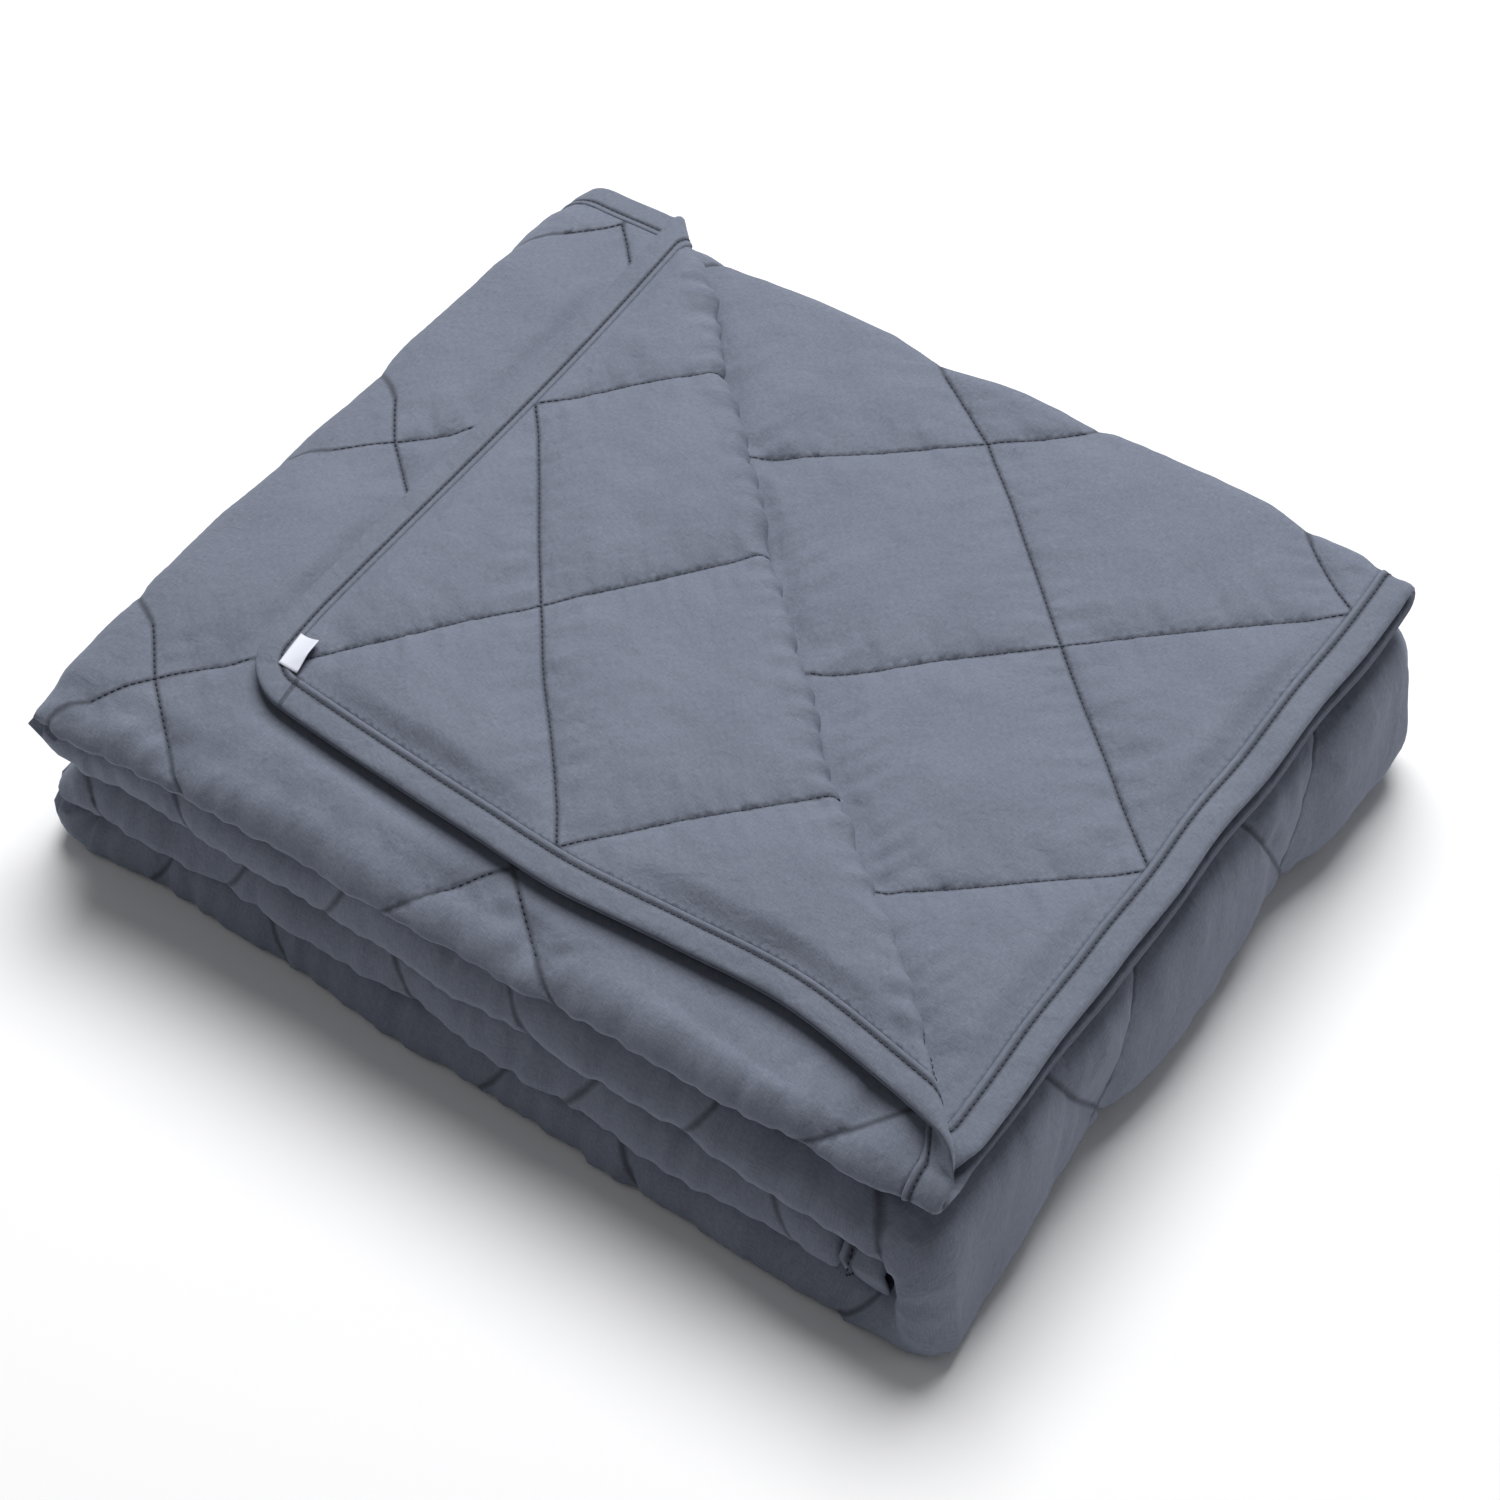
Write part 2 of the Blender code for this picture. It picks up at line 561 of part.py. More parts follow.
def make_object(name, points, faces, colour, roughness):
    mesh = bpy.data.meshes.new(name)
    mesh.from_pydata([tuple(p) for p in points], [], faces)
    mesh.validate()
    material = bpy.data.materials.new(name)
    material.use_nodes = True
    shader = material.node_tree.nodes["Principled BSDF"]
    shader.inputs["Base Color"].default_value = colour
    shader.inputs["Roughness"].default_value = roughness
    shader.inputs["Metallic"].default_value = 0.0
    mesh.materials.append(material)
    mesh.shade_smooth()
    thing = bpy.data.objects.new(name, mesh)
    bpy.context.scene.collection.objects.link(thing)
    return thing


def cloth_mesh(face, back, rims):
    """Joins two skins, each as flat points, triangles and heights, along their shared rims."""
    face_flat, face_tris, face_height = face
    back_flat, back_tris, back_height = back
    on_face = folded(face_flat[:, 0], face_flat[:, 1], face_height)
    on_back = folded(back_flat[:, 0], back_flat[:, 1], back_height)
    points = np.concatenate([on_face, on_back])
    shift = len(face_flat)
    faces = [tuple(tri) for tri in face_tris] + [tuple(shift + k for k in tri[::-1]) for tri in back_tris]
    for face_ring, back_ring, outwards in rims:
        below = back_ring + shift
        for a, b, c, d in zip(face_ring, np.roll(face_ring, -1), below, np.roll(below, -1)):
            faces += [(a, c, d), (a, d, b)] if outwards else [(a, d, c), (a, b, d)]
    return points, faces


def make_quilted_blanket():
    """The quilted cloth up to the binding: two faces and the narrow rim between them."""
    rows = [clipped(row, RIM) for row in fold_rows() + flap_rows()]
    face_seams, back_seams = seam_lines(face_shows), seam_lines(back_shows)
    inside = (RIM, 1.0)
    loop = edge_loop(rows + face_seams + back_seams, RIM, 2 * FINE)
    face_flat, face_tris = triangulated([loop], rows + face_seams, face_shows, inside)
    face_rim = rim_points(face_flat, RIM)
    back_flat, back_tris = triangulated([face_flat[face_rim]], rows + back_seams, back_shows, inside)
    back_rim = rim_points(back_flat, RIM)
    face = (face_flat, face_tris, face_offset(face_flat[:, 0], face_flat[:, 1]))
    back = (back_flat, back_tris, back_offset(back_flat[:, 0], back_flat[:, 1]))
    points, faces = cloth_mesh(face, back, [(face_rim, back_rim, True)])
    return make_object("quilted_blanket", points, faces, CLOTH_BLUE, 0.85)


def make_edge_binding():
    """The strip sewn round the edge, a flat tube that closes on itself."""
    rows = []
    for row in fold_rows() + flap_rows():
        inner, outer = clipped(row, BINDING_WIDTH), clipped(row, 0.0)
        ends = clipped(row, BINDING_ROUND)
        rows += [np.array([outer[0], ends[0], inner[0]]), np.array([inner[-1], ends[-1], outer[-1]])]
    loops = []
    for inset, picks in ((0.0, (0, 2)), (BINDING_ROUND, (1, 1)), (BINDING_WIDTH, (2, 0))):
        stops = [np.array([first[picks[0]], last[picks[1]]]) for first, last in zip(rows[::2], rows[1::2])]
        loops.append(edge_loop(stops, inset, 2 * FINE))
    flat, tris = triangulated(loops, rows, None, (0.0, BINDING_WIDTH))
    depth = edge_depth(flat)
    height = np.interp(depth, BINDING_SHAPE["depth"], BINDING_SHAPE["half"])
    outer, inner = rim_points(flat, 0.0), rim_points(flat, BINDING_WIDTH)
    rims = [(outer, outer, True), (inner, inner, False)]
    points, faces = cloth_mesh((flat, tris, height), (flat, tris, -height), rims)
    return make_object("edge_binding", points, faces, BINDING_BLUE, 0.85)


def make_corner_label():
    """The small tab sewn in at the turned corner, lying on the back of the cloth."""
    u, v = np.meshgrid(
        np.linspace(LABEL["u"], LABEL["u"] + LABEL["length"], LABEL["steps"] + 1),
        np.linspace(LABEL["v"], LABEL["v"] + LABEL["width"], LABEL["steps"] + 1),
        indexing="ij",
    )
    u, v = u.ravel(), v.ravel() + LABEL["lean"] * (u.ravel() - LABEL["u"])
    top = back_offset(u, v) - LABEL["lift"]
    across = LABEL["steps"] + 1
    tris = []
    for i in range(LABEL["steps"]):
        for j in range(LABEL["steps"]):
            a = i * across + j
            tris += [(a, a + across, a + across + 1), (a, a + across + 1, a + 1)]
    near_side = [k * across for k in range(across)]
    far_side = [k * across + LABEL["steps"] for k in range(across)]
    last_row = [LABEL["steps"] * across + k for k in range(across)]
    ring = np.array(near_side + last_row[1:] + far_side[::-1][1:] + list(range(across))[::-1][1:-1])
    flat, tris = np.stack([u, v], axis=1), np.array(tris)
    points, faces = cloth_mesh((flat, tris, top), (flat, tris, top - LABEL["thick"]), [(ring, ring, True)])
    return make_object("corner_label", points, faces, LABEL_WHITE, 0.7)


def main():
    for thing in list(bpy.data.objects):
        bpy.data.objects.remove(thing)
    make_quilted_blanket()
    make_edge_binding()
    make_corner_label()


main()
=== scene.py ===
import math

import bpy
import numpy as np
from mathutils import Matrix, Vector, kdtree, noise
from mathutils.geometry import delaunay_2d_cdt


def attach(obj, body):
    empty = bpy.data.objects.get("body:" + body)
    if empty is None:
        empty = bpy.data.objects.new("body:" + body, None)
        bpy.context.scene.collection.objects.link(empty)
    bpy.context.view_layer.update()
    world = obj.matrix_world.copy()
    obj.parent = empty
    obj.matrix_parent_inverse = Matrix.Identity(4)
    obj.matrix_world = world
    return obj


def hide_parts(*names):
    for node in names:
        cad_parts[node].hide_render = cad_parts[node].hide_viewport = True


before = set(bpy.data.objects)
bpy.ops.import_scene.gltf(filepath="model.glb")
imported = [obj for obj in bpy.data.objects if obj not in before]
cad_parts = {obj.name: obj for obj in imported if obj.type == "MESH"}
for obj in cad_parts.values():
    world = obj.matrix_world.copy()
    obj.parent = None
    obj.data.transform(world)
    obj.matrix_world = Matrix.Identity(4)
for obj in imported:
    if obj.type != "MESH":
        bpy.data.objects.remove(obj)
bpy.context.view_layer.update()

mm = 0.001
print("frame loaded:", ", ".join(sorted(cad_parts)))


# The fold, as in the CAD model: from the flat blanket (u, v, w) to the stack (x, y, z)

flat = {  # the blanket laid flat
    "length": 1951 * mm,
    "width": 1229 * mm,
    "corner": 28 * mm,
    "rim": 17 * mm,  # where the quilted cloth starts, under the binding's inner edge
    "half": 4.4 * mm,  # half the cloth's thickness
    "rimHalf": 2.6 * mm,
    "rimTaper": 14 * mm,
}
pitch = 10.2 * mm  # layer to layer in the stack
bundle = 3 * pitch  # the three layers of the strip
stack = {  # plan of the stack, and its half turns
    "end": 240 * mm,
    "spine": 246 * mm,
    "left": -251 * mm,
    "lowLeft": -263 * mm,
    "free": 211 * mm,
    "near": -205 * mm,
    "far": 207 * mm,
    "leftRadius": bundle / 2,
    "spineRadius": bundle,
    "nearRadius": pitch,
    "farRadius": pitch / 2,
}
corner = {"freeU": 429.7 * mm, "endV": 412.9 * mm, "radius": pitch / 2, "pullBack": 52.5 * mm}
quilt = {  # quilting nodes, in half diamonds, and where they lie
    "countU": (0, 1, 2, 4, 6, 8, 10, 12, 14, 16, 18, 20),
    "placeU": [p * mm for p in (17, 127.2, 236.9, 441, 605, 808, 990, 1180, 1392, 1553, 1747, 1964)],
    "countV": (0, 1, 2, 4, 6, 8, 10, 12, 14),
    "placeV": [p * mm for p in (17, 95, 179.9, 378, 556, 716, 866, 1047, 1212)],
    # where the photo has them on the bare panel and at the left, then where the tables above do
    "driftU": [[p * mm for p in row] for row in ((0, 114, 211, 441, 2000), (0, 127.2, 236.9, 441, 2000))],
    "driftV": [[p * mm for p in row] for row in ((0, 205, 378, 1300), (0, 179.9, 378, 1300))],
    "driftFade": (240 * mm, 400 * mm),
    "halfCell": 68 * mm,
    "sink": 3.6 * mm,
    "swell": 3.6 * mm,
    "floorSink": 1.6 * mm,
    "floorSteep": 6,  # how fast the lowest panel's cells rise from their seams to the flat
    "sideShare": 0.4,  # of the relief, on the near folds
    "turnShare": 0.4,  # where the cloth turns over at the left
    "farShare": 0.8,  # and at the far side
}
lie = {  # how the stack is out of square, and how its sides hang
    "shearX": -0.018,
    "shearY": -0.022,
    "lowerTwist": -0.038,
    "twistTop": 92 * mm,
    "twistDepth": 34 * mm,
    "centre": (7.8 * mm, -2.9 * mm),
    "crease": 0.8,  # how far the near folds' middle sinks to the crease below it, 0 to 1
    "creasePower": 3.0,
    "creaseReach": 15 * mm,
    "crevice": 9 * mm,  # how far the crease between two bundles is drawn in
    "creviceShare": 0.5,  # of the bundle above, which it takes up
    "topExtra": 3.4 * mm,  # the top bundle is counted this much thicker, for its swollen cells
    "slope": 11 * mm,  # how far the top panel falls towards the near side
    "slopeFrom": -100 * mm,
    "flapLift": 0.2,  # share of that fall which the turned corner bridges
    "flapHeld": (120 * mm, 215 * mm),  # where the turned corner starts to fall with it, and does
    "cornerPower": 7.0,  # the left near corner: how square, from what height, and how far drawn out
    "cornerLift": (80 * mm, 90 * mm),
    "cornerDraw": 6 * mm,
    "cornerX": (190 * mm, 256 * mm),
    "cornerY": (150 * mm, 205 * mm),
}
spineLie = {  # how the spine is out of a half round
    "fullness": 0.45,
    "fade": (-4 * mm, 24 * mm),  # across its start, from the runs to the half turn
    "power": (3.4, 6.5),  # how square its foot is, along it and at its near end
    "near": (120 * mm, 190 * mm),
    "footDraw": 6 * mm,
    "creaseHeight": (14 * mm, 46 * mm),
    "push": 12 * mm,  # how far its inner layers move out at the near end
    "pushNear": (160 * mm, 200 * mm),
    "pushAcross": (-30 * mm, 15 * mm),
    "pushTop": 80 * mm,
    "pushFade": 25 * mm,
}
wander = {  # how the sides and ends wander: how far, and from crest to crest along them and upwards
    "sides": {"far": 2.5 * mm, "along": 52 * mm, "up": 26 * mm, "seed": 3.7},
    "heave": {"far": 1.3 * mm, "along": 60 * mm, "up": 40 * mm, "seed": 6.4},
    "ends": {"far": 2.5 * mm, "along": 60 * mm, "up": 60 * mm, "seed": 8.1},
    "sideFrom": 120 * mm,
    "endFrom": 170 * mm,
    "fade": 90 * mm,
}
farBulges = {  # soft bulges of the far fold: where along it, over what reach, and how far
    "rows": ((100 * mm, 75 * mm, 5 * mm), (-100 * mm, 40 * mm, 3.5 * mm)),
    "across": (110 * mm, 207 * mm),
    "up": (60 * mm, 110 * mm),
}

stripHalf = pitch + flat["half"]
leftX = stack["left"] + stack["leftRadius"] + stripHalf
lowLeftX = stack["lowLeft"] + stack["leftRadius"] + stripHalf
spineX = stack["spine"] - stack["spineRadius"] - stripHalf
nearY = stack["near"] + stack["nearRadius"] + flat["half"]
farY = stack["far"] - stack["farRadius"] - flat["half"]
lengthPath = {
    "start": (stack["end"], 3 * bundle + stripHalf),
    "runs": (stack["end"] - leftX, spineX - leftX, spineX - lowLeftX, 1.0),
    "radii": (stack["leftRadius"], stack["spineRadius"], stack["leftRadius"]),
    "sides": (1, -1, -1),  # which face of the strip is outside each turn
}
widthPath = {
    "start": (stack["free"], pitch),
    "runs": (stack["free"] - nearY, farY - nearY, 1.0),
    "radii": (stack["nearRadius"], stack["farRadius"]),
    "sides": (1, 1),
}


def turnSpans(path):  # where each half turn starts and ends along the path
    spans, along = [], 0.0
    for run, radius in zip(path["runs"], path["radii"]):
        along += run
        spans.append((along, along + math.pi * radius))
        along = spans[-1][1]
    return spans


leftTurn, spineTurn, lowTurn = turnSpans(lengthPath)
nearTurn, farTurn = turnSpans(widthPath)


def smooth(value, low, high):
    t = np.clip((value - low) / (high - low), 0, 1)
    return t * t * (3 - 2 * t)


def grain(x, y, seed):  # smooth noise, about -1 to 1
    return 1.5 * np.array([noise.noise((a, b, seed)) for a, b in zip(x.tolist(), y.tolist())])


def alongPath(path, distance):
    point = np.zeros(distance.shape + (2,))
    normal = np.zeros_like(point)
    here, way, passed = np.array(path["start"]), np.array([-1.0, 0.0]), 0.0
    for index, run in enumerate(path["runs"]):
        out = np.array([0.0, -way[0]])
        onRun = distance >= passed if index else distance > -1
        point[onRun] = here + np.outer(distance[onRun] - passed, way)
        normal[onRun] = out
        if index == len(path["radii"]):
            break
        here, passed, radius = here + way * run, passed + run, path["radii"][index]
        side = path["sides"][index]
        turning = distance > passed
        angle = np.minimum((distance[turning] - passed) / radius, math.pi)
        spoke = np.outer(np.cos(angle), side * out) + np.outer(np.sin(angle), way)
        centre = here - side * out * radius
        point[turning] = centre + radius * spoke
        normal[turning] = side * spoke
        here, passed, way = centre - side * out * radius, passed + math.pi * radius, -way
    return point, normal


foldLine = np.array([corner["freeU"], 0.0])
foldNormal = -np.array([corner["endV"], corner["freeU"]]) / math.hypot(corner["endV"], corner["freeU"])


def pulled(u, v):  # the top panel slid back from the end, most at its free edge
    share = corner["pullBack"] * np.clip(1 - v / nearTurn[0], 0, 1)
    return np.where(u < leftTurn[0], u + share * (1 - u / leftTurn[0]), u)


def unpulled(u, v):
    share = corner["pullBack"] * np.clip(1 - v / nearTurn[0], 0, 1)
    return np.where(u < leftTurn[0], (u - share) / (1 - share / leftTurn[0]), u)


def pastFold(u, v):  # distance beyond the turned corner's fold line
    return (pulled(u, v) - foldLine[0]) * foldNormal[0] + (v - foldLine[1]) * foldNormal[1]


bow = {  # how the turned corner's low end, its side and its fold bow in plan
    "low": 17.2 * mm,
    "lowAt": 311 * mm,
    "lowReach": 87 * mm,
    "side": 1.9 * mm,
    "sideTurn": 0.5,
    "fold": 4 * mm,
    "foldReach": 60 * mm,
    "inwards": 160 * mm,
}


def turnCorner(u, v, w):  # also gives how far each point is turned over, 0 to 1
    radius = corner["radius"]
    past = np.where(v < nearTurn[0], pastFold(u, v), -1.0)
    u = pulled(u, v)
    angle = np.clip(past / radius, 0, math.pi)
    moved = (radius - w) * np.sin(angle) - np.maximum(past - math.pi * radius, 0)
    shift = np.where(past > 0, moved - past, 0.0)
    height = np.where(past > 0, radius - (radius - w) * np.cos(angle), w)
    over = smooth(angle, 0, math.pi)
    atEnd, atSide = 1 - smooth(u, 0, bow["inwards"]), 1 - smooth(v, 0, bow["inwards"])
    low = bow["low"] * np.exp(-(((v - bow["lowAt"]) / bow["lowReach"]) ** 2)) * atEnd
    side = bow["side"] * np.sin(2 * math.pi * u / corner["freeU"] + bow["sideTurn"]) * atSide
    alongFold = np.sin(math.pi * np.clip(v / corner["endV"], 0, 1))
    fold = bow["fold"] * np.exp(-((past / bow["foldReach"]) ** 2)) * alongFold
    fold = np.where(v < nearTurn[0], fold, 0.0)
    turnedU = u + shift * foldNormal[0] + over * side + fold
    return turnedU, v + shift * foldNormal[1] - over * low + fold, height, over


def creased(share, strength):  # 0 to 1 in and out, its middle drawn down towards 0
    return (1 - strength) * share + strength * share ** lie["creasePower"]


def squared(a, b, power):  # the growth that makes a quarter round a squarer quarter
    tiny = 1e-9
    radius = np.maximum(np.hypot(a, b), tiny)
    grow = ((a / radius) ** power + (b / radius) ** power + 1e-12) ** (-1 / power)
    return np.where(radius > 10 * tiny, grow, 1.0)


def wavered(wave, share, along, up):
    return wave["far"] * share * grain(along / wave["along"], up / wave["up"], wave["seed"])


def settle(points, over):  # the squared-up stack as it really lies; over from turnCorner
    x, y, z = points.T.copy()
    # the spine, fuller than a half round above, and squarer at its foot
    reach = stack["spineRadius"] + stripHalf
    share = np.clip((z - reach) / reach, 0, 1)
    full = 1 + spineLie["fullness"] * share**2 * (1 - share**8)
    x = np.where(x > spineX, spineX + (x - spineX) * full, x)
    along, atNear = spineLie["power"]
    foot = (x > spineX) & (z < reach)
    out, down = np.maximum(x - spineX, 0), np.maximum(reach - z, 0)
    grow = squared(out, down, along + (atNear - along) * smooth(-y, *spineLie["near"]))
    drawn = spineLie["footDraw"] * smooth(-y, -nearY - lie["creaseReach"], -stack["near"]) * down / reach
    drawn = drawn * np.minimum(out / reach, 1)
    x, z = np.where(foot, spineX + out * grow + drawn, x), np.where(foot, reach - down * grow, z)
    # the near folds hang to a crease at the bottom of each bundle, and at the spine's inner side
    atEdge = smooth(nearY + lie["creaseReach"] - y, 0, lie["creaseReach"])
    low = 0.5 * (pitch - 2 * flat["half"])
    level = np.clip(np.floor((z + low) / bundle), 0, 3)
    base = np.maximum(level * bundle - low, 0)
    thick = np.select((level < 1, level < 3), (bundle - low, bundle), bundle + lie["topExtra"])
    share = np.clip((z - base) / thick, 0, 1)
    fadeFrom, fadeTo = (spineX + place for place in spineLie["fade"])
    onSpine = smooth(x, fadeFrom, fadeTo)
    onRuns = np.where(level < 3, 1 - onSpine, 1.0)
    strength = lie["crease"] * atEdge * onRuns
    z = np.where(share < 1, base + thick * creased(share, strength), z)
    deep = np.clip(1 - share / lie["creviceShare"], 0, 1) ** 2
    y = y + lie["crevice"] * atEdge * onRuns * deep * (level > 0)
    away = np.stack([x - spineX, z - reach])
    radius = np.linalg.norm(away, axis=0)
    inner = bundle / 2
    share = np.clip((radius - inner) / bundle, 0, 1)
    strength = lie["crease"] * atEdge * onSpine * smooth(z, *spineLie["creaseHeight"])
    between = (radius > inner) & (radius < inner + bundle)
    grown = np.where(between, inner + bundle * creased(share, strength), radius)
    grown = grown / np.maximum(radius, 1e-9)
    inSpine = (x > fadeFrom) & (z < 2 * reach + low)
    x, z = np.where(inSpine, spineX + away[0] * grown, x), np.where(inSpine, reach + away[1] * grown, z)
    share = np.clip((np.hypot(x - spineX, z - reach) - inner) / bundle, 0, 1)
    push = spineLie["push"] * (1 - share) * smooth(-y, *spineLie["pushNear"])
    push = push * smooth(spineLie["pushTop"] - z, 0, spineLie["pushFade"])
    x = x + push * smooth(x, *(spineX + place for place in spineLie["pushAcross"]))
    # the top panel falls towards the near side
    falls = smooth(lie["slopeFrom"] - y, 0, lie["slopeFrom"] - stack["near"])
    held = lie["flapLift"] * over * (1 - smooth(x, *lie["flapHeld"]))
    z = z - lie["slope"] * falls * np.clip(z / bundle - 3, 0, 1) * (1 - held)
    # the left near corner is drawn out to a point
    cornerX, cornerY = leftX - bundle / 2, nearY
    a, b = np.maximum(cornerX - x, 0), np.maximum(cornerY - y, 0)
    grow = 1 + (squared(a, b, lie["cornerPower"]) - 1) * smooth(z, *lie["cornerLift"])
    x, y = np.where(a > 0, cornerX - a * grow, x), np.where(b > 0, cornerY - b * grow, y)
    y = y - lie["cornerDraw"] * smooth(-x, *lie["cornerX"]) * smooth(-y, *lie["cornerY"])
    # the sides wander a little
    side = smooth(np.abs(y) - wander["sideFrom"], 0, wander["fade"]) * np.sign(y)
    y = y + wavered(wander["sides"], side, x, z)
    z = z + wavered(wander["heave"], np.abs(side), x, z) * np.clip(z / bundle, 0, 1)
    for place, width, far in farBulges["rows"]:
        bulge = far * np.exp(-(((x - place) / width) ** 2))
        y = y + bulge * smooth(y, *farBulges["across"]) * smooth(z, *farBulges["up"])
    ends = smooth(np.abs(x) - wander["endFrom"], 0, wander["fade"]) * np.sign(x)
    x = x + wavered(wander["ends"], ends, y, z)
    twist = lie["shearY"] + lie["lowerTwist"] * smooth(lie["twistTop"] - z, 0, lie["twistDepth"])
    x, y = x + lie["shearX"] * y, y + twist * x
    return np.stack([x + lie["centre"][0], y + lie["centre"][1], z], axis=1)


def folded(u, v, w):
    u, v, w, over = turnCorner(u, v, w)
    across, out = alongPath(widthPath, v)
    y, height = across[:, 0] + w * out[:, 0], across[:, 1] + w * out[:, 1]
    along, up = alongPath(lengthPath, u)
    x, z = along[:, 0] + height * up[:, 0], along[:, 1] + height * up[:, 1]
    return settle(np.stack([x, y, z], axis=1), over)


# What shows of each face

shown = {  # the widths over which the relief comes and goes
    "covered": (-14 * mm, -2 * mm),  # under the turned corner's edges
    "bare": (5 * mm, 17 * mm),  # beside its fold
    "turned": 12 * mm,
    "fade": 34 * mm,
    "overFar": 10 * mm,
    "beforeFar": 8 * mm,
}


def topShows(u, v):
    past = pastFold(u, v)
    across = math.pi * corner["radius"] - 2 * past
    overV = v + across * foldNormal[1]
    overU = unpulled(pulled(u, v) + across * foldNormal[0], np.maximum(overV, 0))
    covered = smooth(np.minimum(overU, overV), *shown["covered"])
    return np.where(past < 0, 1 - covered, 0.0)


def besideFold(u, v):  # distance of the bare panel from the turned corner's fold, and its place in plan
    planV = stack["free"] - farY + (v - farTurn[1])
    return (u - foldLine[0]) * foldNormal[0] + (planV - foldLine[1]) * foldNormal[1], planV


def innerShows(u, v):
    return smooth(besideFold(u, v)[0], *shown["bare"]) * (u < leftTurn[0])


def turnShare(place, span):
    return np.sin(np.clip((place - span[0]) / (span[1] - span[0]), 0, 1) * math.pi) ** 2


def faceShows(u, v):
    fade = shown["fade"]
    # cloth drawn round a fold lies flatter
    atLeft = smooth(leftTurn[1] - u, 0, fade) * quilt["turnShare"]
    nearLeft = 1 - (1 - quilt["turnShare"]) * smooth(u, leftTurn[0] - fade, leftTurn[0])
    floor = smooth(u - spineTurn[1], 0, fade) * smooth(lowTurn[0] - u, 0, fade)
    atSpine = smooth(u - spineTurn[0], 0, fade) * smooth(spineTurn[1] - u, 0, fade)
    atLow = turnShare(u, lowTurn)
    outer = np.where(u < leftTurn[0], topShows(u, v) * nearLeft, atLeft)
    ends = (u < spineTurn[0], u < spineTurn[1], u < lowTurn[0])
    lower = np.select(ends, (0.0 * u, atSpine, floor), atLow)
    near = quilt["sideShare"] * turnShare(v, nearTurn)
    topmost = smooth(nearTurn[1] - v, 0, nearTurn[1] - nearTurn[0])
    near = np.where(u < leftTurn[0], np.maximum(near, topmost), near)
    far = turnShare(v, farTurn) * quilt["farShare"]
    halfway, past = sum(farTurn) / 2, farTurn[1] + shown["overFar"]
    onPanel = smooth(corner["freeU"] - u, 0, fade) * smooth(v, halfway - shown["beforeFar"], past)
    far = np.where(v > halfway, np.maximum(far, onPanel), far)
    zones = (v < nearTurn[0], v < nearTurn[1], v < farTurn[0], v < farTurn[1])
    flatter = (1 - quilt["farShare"]) * (1 - smooth(v, farTurn[1], past))
    inner = innerShows(u, v) * (1 - flatter)
    return np.select(zones, (outer, near, lower, far), inner)


def backShows(u, v):
    return smooth(pastFold(u, v), 0, shown["turned"]) * (v < nearTurn[0])


# Relief: quilted cells, puckers along the seams, and soft wrinkles

relief = {
    "shoulder": 2.6,  # how flat a cell's middle is, and how steeply it falls to its seams
    "round": 0.6,
    "crown": 0.16,  # how much the cells' height differs
    "pucker": 2.0 * mm,
    "puckerLength": 8 * mm,  # along the seam, crest to crest
    "puckerReach": 17 * mm,  # away from the seam
    "puckerBreadth": 30 * mm,
    "puckerPeak": 1.4,
    "puckerFall": 2.2,
    "wrinkle": 1.1 * mm,
    "wrinkleLength": 34 * mm,
    "crinkle": 0.5 * mm,
    "crinkleLength": 13 * mm,
    "gather": 1.7 * mm,  # short folds square to the edge where the cloth turns over
    "gatherLength": 8 * mm,
    "gatherReach": 38 * mm,
    "gatherFade": 14 * mm,
    "gatherTurned": {"share": 1.2, "to": 2 * mm, "end": 26 * mm, "fade": 12 * mm},  # over the corner's fold
    "gatherBeside": {"share": 1.1, "from": (6 * mm, 14 * mm), "end": 46 * mm, "fade": 30 * mm, "lean": 0.4},
    "gatherSpine": 0.35,
    "drift": 1.1 * mm,  # how far a seam wanders from its straight line
    "driftLength": 45 * mm,
}


def drifted(u, v, way):  # the seams' drift; way 1 goes to the tables' places, -1 comes back from them
    fromU, toU = quilt["driftU"][::way]
    fromV, toV = quilt["driftV"][::way]
    inner = smooth(v, nearTurn[1], farTurn[0])
    left = smooth(u, *quilt["driftFade"]) * (v < nearTurn[0])
    return u + inner * (np.interp(u, fromU, toU) - u), v + left * (np.interp(v, fromV, toV) - v)


def cellCounts(u, v):
    u, v = drifted(u, v, 1)
    i = np.interp(u, quilt["placeU"], quilt["countU"])
    j = np.interp(v, quilt["placeV"], quilt["countV"])
    return i + j, i - j


def cellRelief(u, v, seed):  # every cell has its own height, and each side of a seam its own puckers
    counts = cellCounts(u, v)
    near = [np.abs((c + 1) % 2 - 1) for c in counts]
    pillow = np.prod([1 - (1 - d) ** relief["shoulder"] for d in near], axis=0) ** relief["round"]
    own = np.floor(counts[0] / 2) * 2.1 + np.floor(counts[1] / 2) * 3.7 + seed
    crown = 1 + relief["crown"] * np.sin(own)
    height = (quilt["sink"] + quilt["swell"] * crown) * pillow - quilt["sink"]
    for index, d in enumerate(near):
        along = counts[1 - index] * quilt["halfCell"]
        line = np.round(counts[index] / 2) * 7.3 + np.sign((counts[index] + 1) % 2 - 1) * 2.9
        away = d * quilt["halfCell"]
        reach = relief["puckerReach"]
        bulge = (away / reach) * np.exp(1 - away / reach * relief["puckerFall"]) * relief["puckerPeak"]
        ripples = grain(along / relief["puckerLength"] + line, away / relief["puckerBreadth"], seed + 5)
        height += relief["pucker"] * bulge * ripples
    for name, ownSeed in (("wrinkle", seed), ("crinkle", seed + 9)):
        length = relief[name + "Length"]
        height += relief[name] * pillow * grain(u / length, v / length, ownSeed)
    return height


